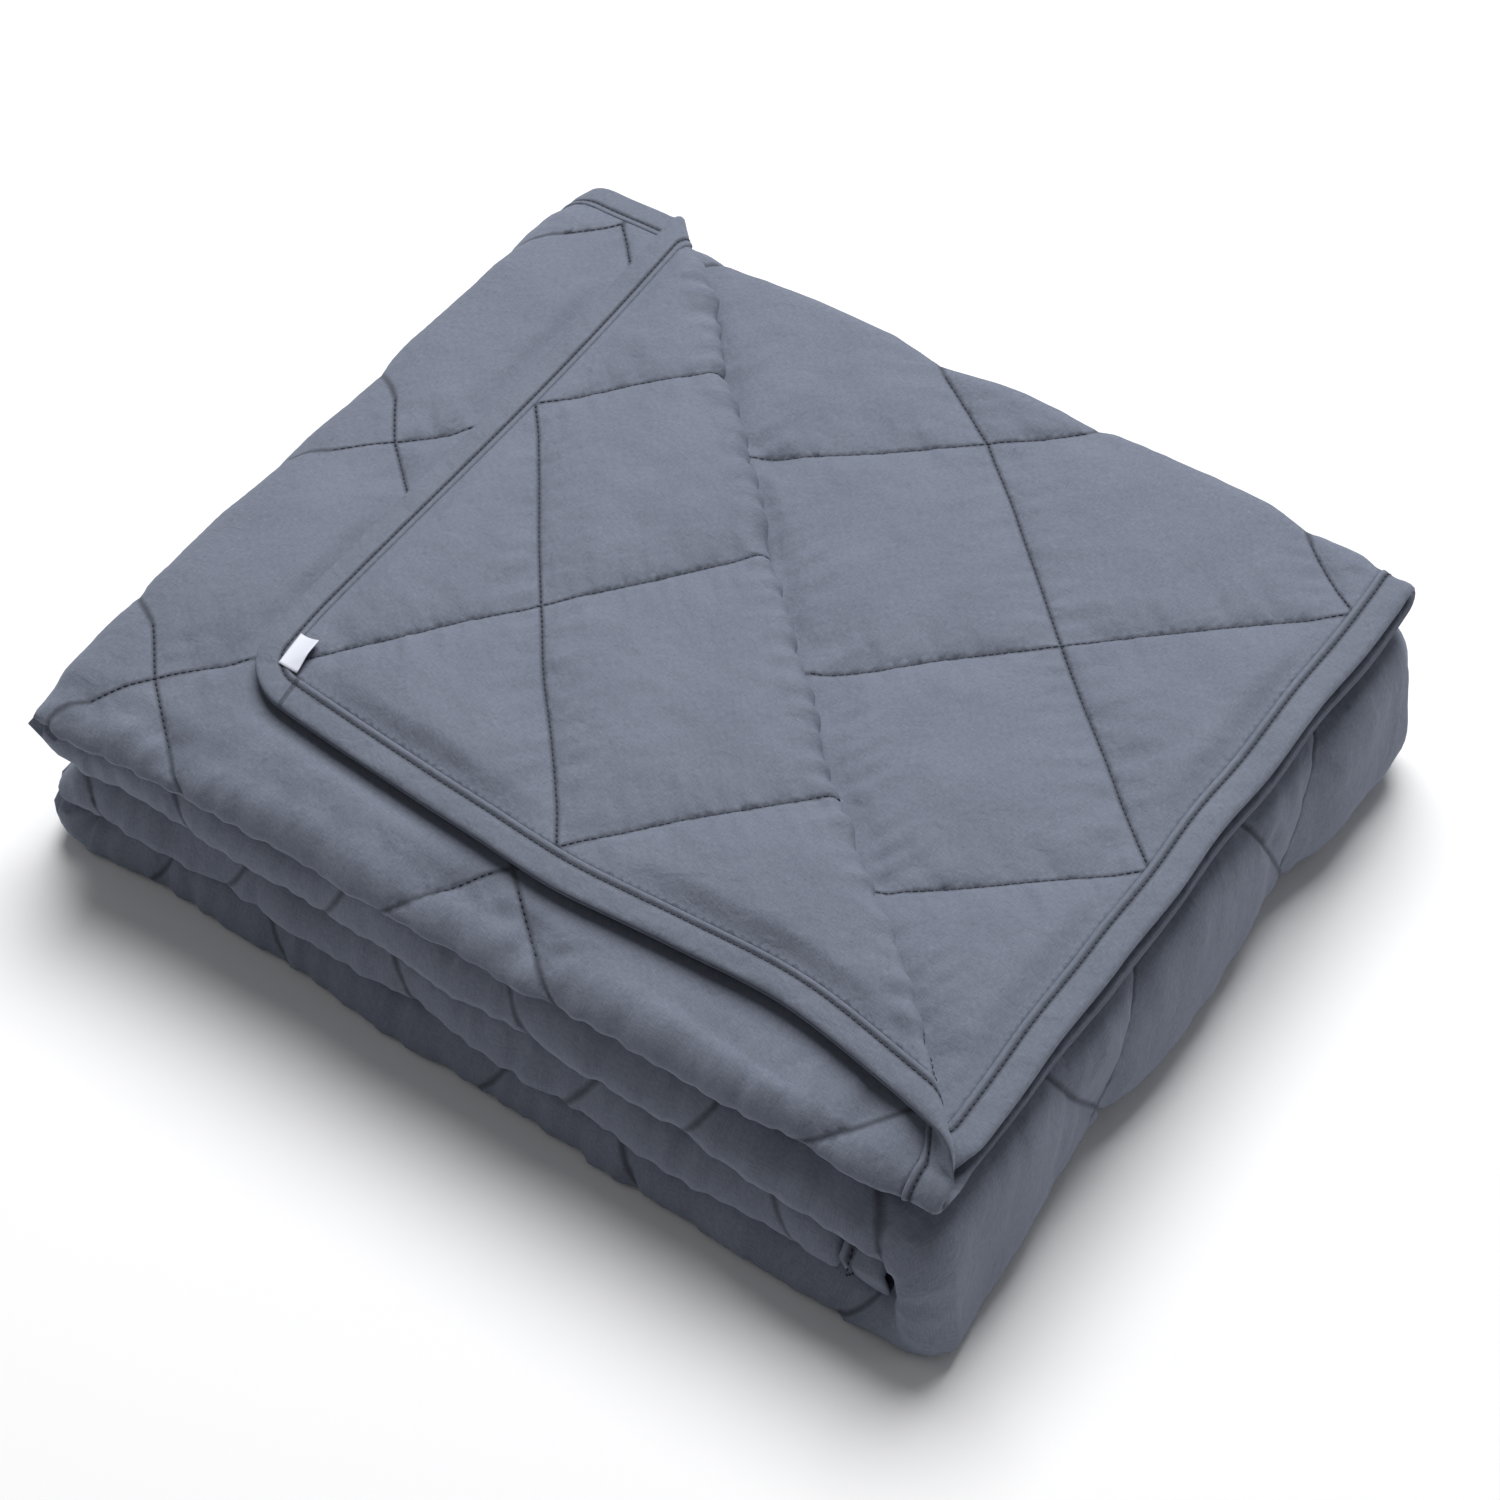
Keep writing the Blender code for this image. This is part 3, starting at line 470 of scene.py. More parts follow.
def halfThickness(u, v):
    inside = np.minimum.reduce([u, v, flat["length"] - u, flat["width"] - v]) - flat["rim"]
    return flat["rimHalf"] + (flat["half"] - flat["rimHalf"]) * smooth(inside, 0, flat["rimTaper"])


def edgeShare(u, v):
    return (halfThickness(u, v) - flat["rimHalf"]) / (flat["half"] - flat["rimHalf"])


def onFloor(u, v):
    return (v > nearTurn[1]) & (v < farTurn[0]) & (u > spineTurn[1]) & (u < lowTurn[0])


def gathers(u, v, seed):  # on the near folds, the turned corner's fold, beside it, and on the spine
    length, reach, edge = relief["gatherLength"], relief["gatherReach"], relief["gatherFade"]
    nearFold = smooth(v, nearTurn[0] - edge, nearTurn[0] + edge)
    nearFold = nearFold * smooth(nearTurn[1] + edge - v, 0, 2 * edge)
    height = nearFold * grain(u / length, v / reach, seed)
    given = relief["gatherTurned"]
    past = np.where(v < nearTurn[0], pastFold(u, v), -1.0)
    turned = smooth(past, -edge, given["to"]) * smooth(given["end"] - past, 0, given["fade"])
    alongFold = u * foldNormal[1] - v * foldNormal[0]
    height += given["share"] * turned * grain(alongFold / length, past / reach, seed + 3)
    spine = smooth(u, spineTurn[0], spineTurn[0] + edge) * smooth(spineTurn[1] - u, 0, edge)
    height += spine * relief["gatherSpine"] * grain(v / (2 * length), u / reach, seed + 6)
    given = relief["gatherBeside"]
    past, planV = besideFold(u, v)
    beside = smooth(past, *given["from"]) * smooth(given["end"] - past, 0, given["fade"])
    beside = beside * (v > farTurn[1]) * (u < leftTurn[0])
    alongFold = u * foldNormal[1] - planV * foldNormal[0] + given["lean"] * past
    height += given["share"] * beside * grain(alongFold / length, past / (2 * reach), seed + 8)
    return relief["gather"] * height


def faceOffset(u, v):
    counts = cellCounts(u, v)
    cell = np.prod([np.abs((c + 1) % 2 - 1) for c in counts], axis=0)
    flattened = quilt["floorSink"] * (np.minimum(cell * quilt["floorSteep"], 1) - 1)
    height = np.where(onFloor(u, v), flattened, cellRelief(u, v, seed=1.3))
    height = height * faceShows(u, v) + gathers(u, v, seed=11.2)
    return halfThickness(u, v) + height * edgeShare(u, v)


def backOffset(u, v):
    height = cellRelief(u, v, seed=6.1) + gathers(u, v, seed=17.4)
    return -halfThickness(u, v) - height * backShows(u, v) * edgeShare(u, v)


def laid(u, v, w):  # folded, with the seams wandering a little
    u, v, w = (np.asarray(a, float) for a in (u, v, w))
    share = edgeShare(u, v) * relief["drift"]
    length = relief["driftLength"]
    asideU, asideV = (share * grain(u / length, v / length, seed) for seed in (20.5, 31.5))
    return folded(u + asideU, v + asideV, w)


# Meshing of the flat blanket

spacing = {"top": 2.7 * mm, "side": 3.4 * mm, "floor": 7 * mm, "bend": 6 * mm, "hidden": 22 * mm}
meshing = {
    "bendExtra": 4 * mm,  # the finer points go this far past a half turn
    "foldEdges": (-4 * mm, 20 * mm),
    "shownFrom": 0.02,  # of the relief; less of it counts as hidden
    "seamFrom": 0.1,
    "rimGap": 0.6 * mm,
    "endHidden": 60 * mm,  # the sheet's last stretch, inside the stack
    "arcPoints": 13,
}


def edgeDepth(points):
    middle = np.array([flat["length"], flat["width"]]) / 2
    pastCore = np.abs(points - middle) - (middle - flat["corner"])
    outside = np.linalg.norm(np.maximum(pastCore, 0), axis=-1)
    return flat["corner"] - outside - np.minimum(np.max(pastCore, axis=-1), 0)


def inBend(place, span):
    return (place > span[0] - meshing["bendExtra"]) & (place < span[1] + meshing["bendExtra"])


def onTopPanel(u, v):
    return (u < leftTurn[0]) & ((v < nearTurn[0]) | (v > farTurn[1]))


def zoneOf(points, shows):
    u, v = points.T
    seen = shows(u, v) > meshing["shownFrom"]
    bends = inBend(v, nearTurn) | inBend(v, farTurn) | inBend(u, leftTurn) | inBend(u, spineTurn)
    past = pastFold(u, v)
    before, after = meshing["foldEdges"]
    bends = bends | inBend(u, lowTurn) | ((v < nearTurn[0]) & (past > before) & (past < after))
    kinds = (seen & onTopPanel(u, v), seen & onFloor(u, v), seen, bends)
    return np.select(kinds, (0, 1, 2, 3), 4)


def seamLines(shows, step):
    lines = []
    mostI, mostJ = quilt["countU"][-1], quilt["countV"][-1]
    for slope in (1, -1):
        for total in range(-mostJ, mostI + mostJ + 1, 2):
            i = np.arange(0, mostI, step / quilt["halfCell"])
            j = (total - i) * slope
            u = np.interp(i, quilt["countU"], quilt["placeU"])
            v = np.interp(j, quilt["countV"], quilt["placeV"])
            u, v = drifted(u, v, -1)
            clear = edgeDepth(np.stack([u, v], 1)) > flat["rim"] + meshing["rimGap"]
            seen = (j >= 0) & (j <= mostJ) & clear & (shows(u, v) > meshing["seamFrom"])
            ends = np.flatnonzero(np.diff(np.concatenate([[0], seen.astype(int), [0]])))
            lines += [np.stack([u[a:b], v[a:b]], 1) for a, b in zip(ends[::2], ends[1::2]) if b - a > 2]
    return lines


def outline(inset, fineStep, coarseStep):
    radius = flat["corner"] - inset
    start, farU, farV = flat["corner"], flat["length"] - flat["corner"], flat["width"] - flat["corner"]
    centres = ((start, start), (farU, start), (farU, farV), (start, farV))
    points = []
    for quarter, centre in enumerate(centres):
        angles = math.pi * (1 + quarter / 2 + np.linspace(0, 0.5, meshing["arcPoints"]))
        points += [np.array(centre) + radius * np.array([math.cos(a), math.sin(a)]) for a in angles]
    loop = []
    for here, following in zip(points, points[1:] + points[:1]):
        gap = np.linalg.norm(following - here)
        toEnd = np.array([flat["length"], flat["width"]]) - np.minimum(here, following)
        count = max(1, math.ceil(gap / (coarseStep if toEnd.min() < meshing["endHidden"] else fineStep)))
        loop += [here + (following - here) * k / count for k in range(count)]
    return np.array(loop)


def filled(taken, shows):
    added = [taken]
    for zone, name in enumerate(("top", "floor", "side", "bend", "hidden")):
        step = spacing[name]
        across = np.arange(flat["rim"] + step / 2, flat["width"] - flat["rim"], step * math.sqrt(3) / 2)
        along = np.arange(flat["rim"] + step / 2, flat["length"] - flat["rim"], step)
        gridU, gridV = np.meshgrid(along, across)
        gridU = gridU + (np.arange(len(across)) % 2)[:, None] * step / 2
        fill = np.stack([gridU.ravel(), gridV.ravel()], 1)
        fill = fill[edgeDepth(fill) > flat["rim"] + step / 3]
        fill = fill[zoneOf(fill, shows) == zone]
        known = np.concatenate(added)
        tree = kdtree.KDTree(len(known))
        for index, (a, b) in enumerate(known.tolist()):
            tree.insert((a, b, 0), index)
        tree.balance()
        clear = np.array([tree.find((a, b, 0))[2] for a, b in fill.tolist()])
        added.append(fill[clear > 0.5 * step])
    return np.concatenate(added[1:])


def skinMesh(loop, shows):
    lines = seamLines(shows, spacing["top"])
    points, edges = list(loop), [(k, (k + 1) % len(loop)) for k in range(len(loop))]
    for line in lines:
        edges += [(k, k + 1) for k in range(len(points), len(points) + len(line) - 1)]
        points += list(line)
    points = np.concatenate([np.array(points), filled(np.array(points), shows)])
    found = delaunay_2d_cdt([Vector(p) for p in points.tolist()], edges, [], 0, 1e-7)
    skin = np.array([tuple(p) for p in found[0]])
    tris = np.array([tuple(f) for f in found[2]])
    inside = edgeDepth(skin[tris].mean(axis=1)) > flat["rim"]
    print(f"skin: {len(skin)} points, {inside.sum()} triangles, {len(skin) - len(points)} points added")
    return skin, tris[inside]


def makeMesh(name, points, faces, flatPoints=None):
    mesh = bpy.data.meshes.new(name)
    mesh.from_pydata([tuple(p) for p in points], [], [tuple(f) for f in faces])
    if flatPoints is not None:
        corners = np.array([loop.vertex_index for loop in mesh.loops])
        p, q = cellCounts(*flatPoints.T)
        for title, pair in (("flat", flatPoints), ("quilt", np.stack([p, q], 1))):
            layer = mesh.uv_layers.new(name=title)
            layer.data.foreach_set("uv", pair[corners].astype(np.float32).ravel())
    mesh.validate()
    mesh.shade_smooth()
    thing = bpy.data.objects.new(name, mesh)
    bpy.context.scene.collection.objects.link(thing)
    return thing


def makeQuiltedBlanket():
    loop = outline(flat["rim"], 1.5 * spacing["top"], spacing["hidden"])
    faceFlat, faceTris = skinMesh(loop, faceShows)
    backFlat, backTris = skinMesh(loop, backShows)
    sides = ((faceFlat, faceOffset), (backFlat, backOffset))
    points = np.concatenate([laid(*places.T, offset(*places.T)) for places, offset in sides])
    shift, count = len(faceFlat), len(loop)
    ring = np.arange(count)
    after = np.roll(ring, -1)
    rim = ((ring, ring + shift, after + shift), (ring, after + shift, after))
    faces = [faceTris, backTris[:, ::-1] + shift] + [np.stack(corners, 1) for corners in rim]
    return makeMesh("quilted_cloth", points, np.concatenate(faces), np.concatenate([faceFlat, backFlat]))


cloth = makeQuiltedBlanket()
print("quilted cloth:", len(cloth.data.polygons), "triangles")


# The binding: a strip folded round the edge, its inner edges turned under and stitched

binding = {
    # mm from the edge, and half the thickness there
    "depth": (0, 0.25, 0.9, 2.2, 5.0, 8.5, 11.4, 12.7, 13.4, 14.1, 14.9, 15.8, 16.5, 17.0, 17.3),
    "half": (0, 1.0, 1.9, 2.5, 2.75, 2.9, 2.9, 2.7, 2.35, 2.75, 3.25, 3.45, 3.3, 2.7, 1.6),
    "underFace": 0.1,  # added to the flat depth of the under face
    "step": 2.4 * mm,
    "hiddenStep": 12 * mm,
    "waves": ((0.5 * mm, 3 * mm), (11 * mm, 13 * mm)),  # where they come and go across it
    "ripple": 0.45 * mm,
    "rippleLength": 19 * mm,
    "rippleBreadth": 9 * mm,
    "creaseEvery": 26 * mm,
    "creaseLean": 0.45,
    "creaseAside": 9 * mm,  # how far the creases stray from even spacing
    "asideLength": 70 * mm,
    "crease": 0.7 * mm,
    "creaseWidth": 1.5 * mm,
    "stitchDepth": 13.4 * mm,
    # painted shade along the stitched groove: how far from the stitch line it is darkest and gone, and its
    # darkest tone
    "groove": (0.4 * mm, 1.9 * mm),
    "grooveShade": 0.4,
}


def makeBinding():
    ring = outline(0.0, binding["step"], binding["hiddenStep"])
    middle = np.array([flat["length"], flat["width"]]) / 2
    core = middle - flat["corner"]
    centre = middle + np.clip(ring - middle, -core, core)
    inward = (centre - ring) / np.linalg.norm(centre - ring, axis=1)[:, None]
    length = np.concatenate([[0], np.cumsum(np.linalg.norm(np.diff(ring, axis=0), axis=1))])
    depth = np.array(binding["depth"]) * mm
    half = np.array(binding["half"]) * mm
    profile = [(d, h) for d, h in zip(depth, half)] + [(d, -h) for d, h in zip(depth[:0:-1], half[:0:-1])]
    rows, flats = [], []
    come, go = binding["waves"]
    for d, h in profile:
        place = ring + inward * d
        body = smooth(d, *come) * (1 - smooth(d, *go))
        side = 4.0 if h < 0 else 0.0
        across = 0 * length + d / binding["rippleBreadth"]
        swell = binding["ripple"] * grain(length / binding["rippleLength"], across, 2.2 + side)
        aside = binding["creaseAside"] * grain(length / binding["asideLength"], 0 * length, 5.5 + side)
        phase = (length + binding["creaseLean"] * d + aside) / binding["creaseEvery"]
        fromCrease = np.abs(phase - np.round(phase)) * binding["creaseEvery"]
        swell = swell - binding["crease"] * np.exp(-((fromCrease / binding["creaseWidth"]) ** 2))
        w = h + np.sign(h) * body * swell
        rows.append(laid(place[:, 0], place[:, 1], w))
        flats.append(np.stack([length, np.full(len(ring), d + (binding["underFace"] if h < 0 else 0))], 1))
    points, flatPoints = np.concatenate(rows), np.concatenate(flats)
    count, turns = len(ring), len(profile)
    faces = []
    for k in range(turns):
        a, b = k * count, (k + 1) % turns * count
        faces += [(a + n, a + (n + 1) % count, b + (n + 1) % count, b + n) for n in range(count)]
    return makeMesh("edge_strip", points, faces, flatPoints)


strip = makeBinding()
print("binding:", len(strip.data.polygons), "quads")


# The label: a blank satin tab caught under the binding at the turned corner

label = {
    "u": 17.6 * mm,
    "v": 16.2 * mm,
    "length": 20 * mm,
    "width": 11.5 * mm,
    "lean": -0.04,
    "thick": 0.7 * mm,
    "gap": 0.5 * mm,  # above the cloth
    "lift": 0.9 * mm,  # of its free edge
    "curl": 1.3 * mm,
    "wave": 0.5 * mm,
    "points": 15,
}


def makeLabel():
    count = label["points"]
    shares = np.linspace(0, 1, count)
    a, b = (g.ravel() for g in np.meshgrid(shares, shares, indexing="ij"))
    u = label["u"] + label["length"] * a
    v = label["v"] + label["width"] * b + label["lean"] * label["length"] * a
    curl = label["gap"] + label["curl"] * b**2 + label["wave"] * np.sin(a * 4.0) * b
    w = -halfThickness(u, v) - curl - label["lift"] * b * edgeShare(u, v)
    top, under = laid(u, v, w - label["thick"]), laid(u, v, w)
    faces = []
    for i in range(count - 1):
        for j in range(count - 1):
            k = i * count + j
            quad = (k, k + count, k + count + 1, k + 1)
            faces += [quad, tuple(n + count * count for n in quad[::-1])]
    border = [k * count for k in range(count)] + [(count - 1) * count + k for k in range(1, count)]
    border += [k * count + count - 1 for k in range(count - 1)][::-1] + list(range(1, count - 1))[::-1]
    for here, following in zip(border, border[1:] + border[:1]):
        faces.append((here, here + count * count, following + count * count, following))
    flatPoints = np.stack([np.tile(a, 2), np.tile(b, 2)], 1)
    return makeMesh("blank_label", np.concatenate([top, under]), faces, flatPoints)


tab = makeLabel()
print("label made")


# Stitches

stitching = {
    "pitch": 3.1 * mm,
    "seamPitch": 3.2 * mm,
    "length": 2.5 * mm,
    "thick": 1.1 * mm,
    "lift": 0.1 * mm,  # above the cloth
    "seamLift": 0.12 * mm,
    "step": (1.6 * mm, 6 * mm),  # of the line they follow, seen and hidden
    "seamStep": 1.5 * mm,
}


def addNode(tree, kind, inputs=None, **settings):
    node = tree.nodes.new(kind)
    for name, value in settings.items():
        setattr(node, name, value)
    for name, value in (inputs or {}).items():
        if isinstance(value, bpy.types.NodeSocket):
            tree.links.new(value, node.inputs[name])
        else:
            node.inputs[name].default_value = value
    return node


def stitchTree():
    tree = bpy.data.node_groups.new("stitches", "GeometryNodeTree")
    tree.interface.new_socket("Path", in_out="INPUT", socket_type="NodeSocketGeometry")
    for name, key in (("Pitch", "pitch"), ("Length", "length"), ("Thickness", "thick")):
        socket = tree.interface.new_socket(name, in_out="INPUT", socket_type="NodeSocketFloat")
        socket.default_value = stitching[key]
    tree.interface.new_socket("Thread", in_out="INPUT", socket_type="NodeSocketMaterial")
    tree.interface.new_socket("Stitches", in_out="OUTPUT", socket_type="NodeSocketGeometry")
    given = addNode(tree, "NodeGroupInput").outputs
    curve = addNode(tree, "GeometryNodeMeshToCurve", {"Mesh": given["Path"]})
    spaced = addNode(
        tree,
        "GeometryNodeCurveToPoints",
        {"Curve": curve.outputs["Curve"], "Length": given["Pitch"]},
        mode="LENGTH",
    )
    turn = addNode(
        tree, "FunctionNodeAlignRotationToVector", {"Vector": spaced.outputs["Tangent"]}, axis="X"
    )
    ball = addNode(tree, "GeometryNodeMeshUVSphere", {"Segments": 6, "Rings": 4, "Radius": 0.5})
    size = addNode(
        tree,
        "ShaderNodeCombineXYZ",
        {"X": given["Length"], "Y": given["Thickness"], "Z": given["Thickness"]},
    )
    thread = addNode(
        tree, "GeometryNodeTransform", {"Geometry": ball.outputs["Mesh"], "Scale": size.outputs["Vector"]}
    )
    placed = addNode(
        tree,
        "GeometryNodeInstanceOnPoints",
        {
            "Points": spaced.outputs["Points"],
            "Instance": thread.outputs["Geometry"],
            "Rotation": turn.outputs["Rotation"],
        },
    )
    real = addNode(tree, "GeometryNodeRealizeInstances", {"Geometry": placed.outputs["Instances"]})
    rounded = addNode(tree, "GeometryNodeSetShadeSmooth", {"Geometry": real.outputs["Geometry"]})
    done = addNode(
        tree,
        "GeometryNodeSetMaterial",
        {"Geometry": rounded.outputs["Geometry"], "Material": given["Thread"]},
    )
    addNode(tree, "NodeGroupOutput", {"Stitches": done.outputs["Geometry"]})
    return tree


def stitched(name, lines, tree, sizes, thread):
    points, edges = np.concatenate(lines), []
    first = 0
    for line in lines:
        edges += [(k, k + 1) for k in range(first, first + len(line) - 1)]
        first += len(line)
    path = bpy.data.meshes.new(name)
    path.from_pydata([tuple(p) for p in points], edges, [])
    rows = bpy.data.objects.new(name, path)
    bpy.context.scene.collection.objects.link(rows)
    modifier = rows.modifiers.new("stitches", "NODES")
    modifier.node_group = tree
    sockets = {item.name: item.identifier for item in tree.interface.items_tree if item.in_out == "INPUT"}
    for key, value in sizes.items():
        modifier[sockets[key]] = value
    modifier[sockets["Thread"]] = thread
    graph = bpy.context.evaluated_depsgraph_get()
    plain = bpy.data.meshes.new_from_object(rows.evaluated_get(graph))
    rows.modifiers.clear()
    rows.data = plain
    plain.name = name
    bpy.data.meshes.remove(path)
    return rows


def seamStitchLines():
    lines = []
    for shows, offset, lift in ((faceShows, faceOffset, 1), (backShows, backOffset, -1)):
        for line in seamLines(shows, stitching["seamStep"]):
            # only the top's stitches are seen; elsewhere they sink from sight
            cuts = np.flatnonzero(np.diff(np.concatenate([[0], onTopPanel(*line.T).astype(int), [0]])))
            for a, b in zip(cuts[::2], cuts[1::2]):
                if b - a > 2:
                    u, v = line[a:b].T
                    lines.append(laid(u, v, offset(u, v) + lift * stitching["seamLift"]))
    return lines


def bindingStitchLines():
    ring = outline(binding["stitchDepth"], *stitching["step"])
    ring = np.concatenate([ring, ring[:1]])
    half = np.interp(binding["stitchDepth"] / mm, binding["depth"], binding["half"]) * mm
    height = half + stitching["lift"]
    return [laid(*ring.T, np.full(len(ring), w)) for w in (height, -height)]


# Materials

colours = {
    "cloth": ("#656b79", "#7a808e"),
    "binding": ("#636976", "#787e8c"),
    "sheen": "#aab4c8",
    "thread": "#2a3042",
    "label": "#e3e7f2",
    "floor": "#fafafb",
}
cotton = {  # its pattern's sizes, and how deep each part of its surface is
    "heather": 1.6 * mm,
    "patches": 38 * mm,
    "slubs": (260.0, 2400.0),  # a metre: 0.4 mm threads, drawn 4 mm long
    "tones": (1.15, 1.85),
    "nap": 1.1 * mm,
    "napDeep": 0.22 * mm,
    "creases": 9 * mm,
    "creasesDeep": 1.3 * mm,
    "weaveDeep": 0.1 * mm,
    "roughness": 0.88,
    "seam": (0.005, 0.03),  # of a cell: the painted shade in the seam grooves, darkest within the first, gone past the second
    "seamShade": 0.45,
}
plain = {"fleck": 0.7 * mm, "deep": 0.08 * mm}


def linear(hexText):
    parts = [int(hexText[k : k + 2], 16) / 255 for k in (1, 3, 5)]
    return tuple(c / 12.92 if c <= 0.04045 else ((c + 0.055) / 1.055) ** 2.4 for c in parts) + (1.0,)


def newMaterial(name):
    made = bpy.data.materials.new(name)
    made.use_nodes = True
    made.node_tree.nodes.clear()
    return made, made.node_tree


def brushedCotton(name, tones, seams):
    # Brushed plain-weave cotton: matt, with a short nap that lifts the grazing light, and a faint heather;
    # painted shade darkens it in its seam grooves, or on the binding in its stitched groove
    made, tree = newMaterial(name)
    place = addNode(tree, "ShaderNodeUVMap", uv_map="flat").outputs["UV"]
    heather = addNode(
        tree,
        "ShaderNodeTexNoise",
        {"Vector": place, "Scale": 1 / cotton["heather"], "Detail": 4.0, "Roughness": 0.7},
    )
    patches = addNode(
        tree, "ShaderNodeTexNoise", {"Vector": place, "Scale": 1 / cotton["patches"], "Detail": 2.0}
    )
    slubs = []
    for stretch in (cotton["slubs"], cotton["slubs"][::-1]):
        drawn = addNode(tree, "ShaderNodeMapping", {"Vector": place, "Scale": stretch + (1.0,)})
        slub = addNode(tree, "ShaderNodeTexNoise", {"Vector": drawn.outputs["Vector"], "Scale": 1.0})
        slubs.append(slub.outputs["Fac"])
    threads = addNode(tree, "ShaderNodeMath", {0: slubs[0], 1: slubs[1]}, operation="ADD")
    tone = addNode(
        tree,
        "ShaderNodeMath",
        {0: heather.outputs["Fac"], 1: 0.5, 2: threads.outputs["Value"]},
        operation="MULTIPLY_ADD",
    )
    tone = addNode(
        tree,
        "ShaderNodeMath",
        {0: patches.outputs["Fac"], 1: 0.5, 2: tone.outputs["Value"]},
        operation="MULTIPLY_ADD",
    )
    low, high = cotton["tones"]
    share = addNode(
        tree, "ShaderNodeMapRange", {"Value": tone.outputs["Value"], "From Min": low, "From Max": high}
    )
    colour = addNode(tree, "ShaderNodeMix", {"Factor": share.outputs["Result"]}, data_type="RGBA")
    for socket, hexText in zip("AB", tones):
        found = [s for s in colour.inputs if s.name == socket and s.type == "RGBA"]
        found[0].default_value = linear(hexText)
    tint = [s for s in colour.outputs if s.type == "RGBA"][0]
    # painted shade: the quilted cloth darkened towards each seam line, where the stitches pull the cloth in
    if seams:
        cells = addNode(tree, "ShaderNodeUVMap", uv_map="quilt").outputs["UV"]
        split = addNode(tree, "ShaderNodeSeparateXYZ", {"Vector": cells})
        nearest = []
        for axis in ("X", "Y"):
            wave = addNode(tree, "ShaderNodeMath", {0: split.outputs[axis], 1: 1.0}, operation="PINGPONG")
            nearest.append(wave.outputs["Value"])
        seam = addNode(tree, "ShaderNodeMath", {0: nearest[0], 1: nearest[1]}, operation="MINIMUM")
        away, span, darkest = seam.outputs["Value"], cotton["seam"], cotton["seamShade"]
    else:  # painted shade of the groove that its stitches pull in
        split = addNode(tree, "ShaderNodeSeparateXYZ", {"Vector": place})
        depth = addNode(
            tree, "ShaderNodeMath", {0: split.outputs["Y"], 1: binding["underFace"]}, operation="MODULO"
        )
        past = addNode(
            tree,
            "ShaderNodeMath",
            {0: depth.outputs["Value"], 1: binding["stitchDepth"]},
            operation="SUBTRACT",
        )
        either = addNode(tree, "ShaderNodeMath", {0: past.outputs["Value"]}, operation="ABSOLUTE")
        away, span, darkest = either.outputs["Value"], binding["groove"], binding["grooveShade"]
    # the colour darkened by this painted shade
    dark = addNode(
        tree,
        "ShaderNodeMapRange",
        {"Value": away, "From Min": span[0], "From Max": span[1], "To Min": darkest, "To Max": 1.0},
    )
    scaled = addNode(
        tree, "ShaderNodeVectorMath", {0: tint, "Scale": dark.outputs["Result"]}, operation="SCALE"
    )
    nap = addNode(
        tree,
        "ShaderNodeTexNoise",
        {"Vector": place, "Scale": 1 / cotton["nap"], "Detail": 3.0, "Roughness": 0.65},
    )
    creases = addNode(
        tree,
        "ShaderNodeTexNoise",
        {"Vector": place, "Scale": 1 / cotton["creases"], "Detail": 3.0, "Distortion": 0.6},
    )
    rough = addNode(
        tree,
        "ShaderNodeBump",
        {"Height": creases.outputs["Fac"], "Distance": cotton["creasesDeep"], "Strength": 0.75},
    )
    fine = addNode(
        tree,
        "ShaderNodeBump",
        {
            "Height": nap.outputs["Fac"],
            "Distance": cotton["napDeep"],
            "Strength": 0.6,
            "Normal": rough.outputs["Normal"],
        },
    )
    weave = addNode(
        tree,
        "ShaderNodeBump",
        {
            "Height": threads.outputs["Value"],
            "Distance": cotton["weaveDeep"],
            "Strength": 0.6,
            "Normal": fine.outputs["Normal"],
        },
    )
    shader = addNode(
        tree,
        "ShaderNodeBsdfPrincipled",
        {
            "Base Color": scaled.outputs["Vector"],
            "Normal": weave.outputs["Normal"],
            "Roughness": cotton["roughness"],
            "Specular IOR Level": 0.25,
            "Sheen Weight": 0.22,
            "Sheen Roughness": 0.55,
            "Sheen Tint": linear(colours["sheen"]),
        },
    )
    addNode(tree, "ShaderNodeOutputMaterial", {"Surface": shader.outputs["BSDF"]})
    return made


def plainFinish(name, colour, roughness, sheen):
    made, tree = newMaterial(name)
    place = addNode(tree, "ShaderNodeTexCoord").outputs["Object"]
    fleck = addNode(
        tree, "ShaderNodeTexNoise", {"Vector": place, "Scale": 1 / plain["fleck"], "Detail": 2.0}
    )
    bump = addNode(
        tree, "ShaderNodeBump", {"Height": fleck.outputs["Fac"], "Distance": plain["deep"], "Strength": 0.5}
    )
    shader = addNode(
        tree,
        "ShaderNodeBsdfPrincipled",
        {
            "Base Color": linear(colour),
            "Roughness": roughness,
            "Sheen Weight": sheen,
            "Normal": bump.outputs["Normal"],
        },
    )
    addNode(tree, "ShaderNodeOutputMaterial", {"Surface": shader.outputs["BSDF"]})
    return made


clothFinish = brushedCotton("brushed_cotton", colours["cloth"], True)
stripFinish = brushedCotton("brushed_cotton_strip", colours["binding"], False)
threadFinish = plainFinish("spun_polyester_thread", colours["thread"], 0.6, 0.0)
labelFinish = plainFinish("polyester_satin_ribbon", colours["label"], 0.45, 0.2)
cloth.data.materials.append(clothFinish)
strip.data.materials.append(stripFinish)
tab.data.materials.append(labelFinish)

tree = stitchTree()
seamSizes = {"Pitch": stitching["seamPitch"]}
seamRows = stitched("quilting_stitches", seamStitchLines(), tree, seamSizes, threadFinish)
stripSizes = {"Pitch": stitching["pitch"]}
stripRows = stitched("binding_stitches", bindingStitchLines(), tree, stripSizes, threadFinish)
print("stitches:", len(seamRows.data.polygons), len(stripRows.data.polygons))


# Each piece hangs from the root body; the CAD parts that they replace are hidden

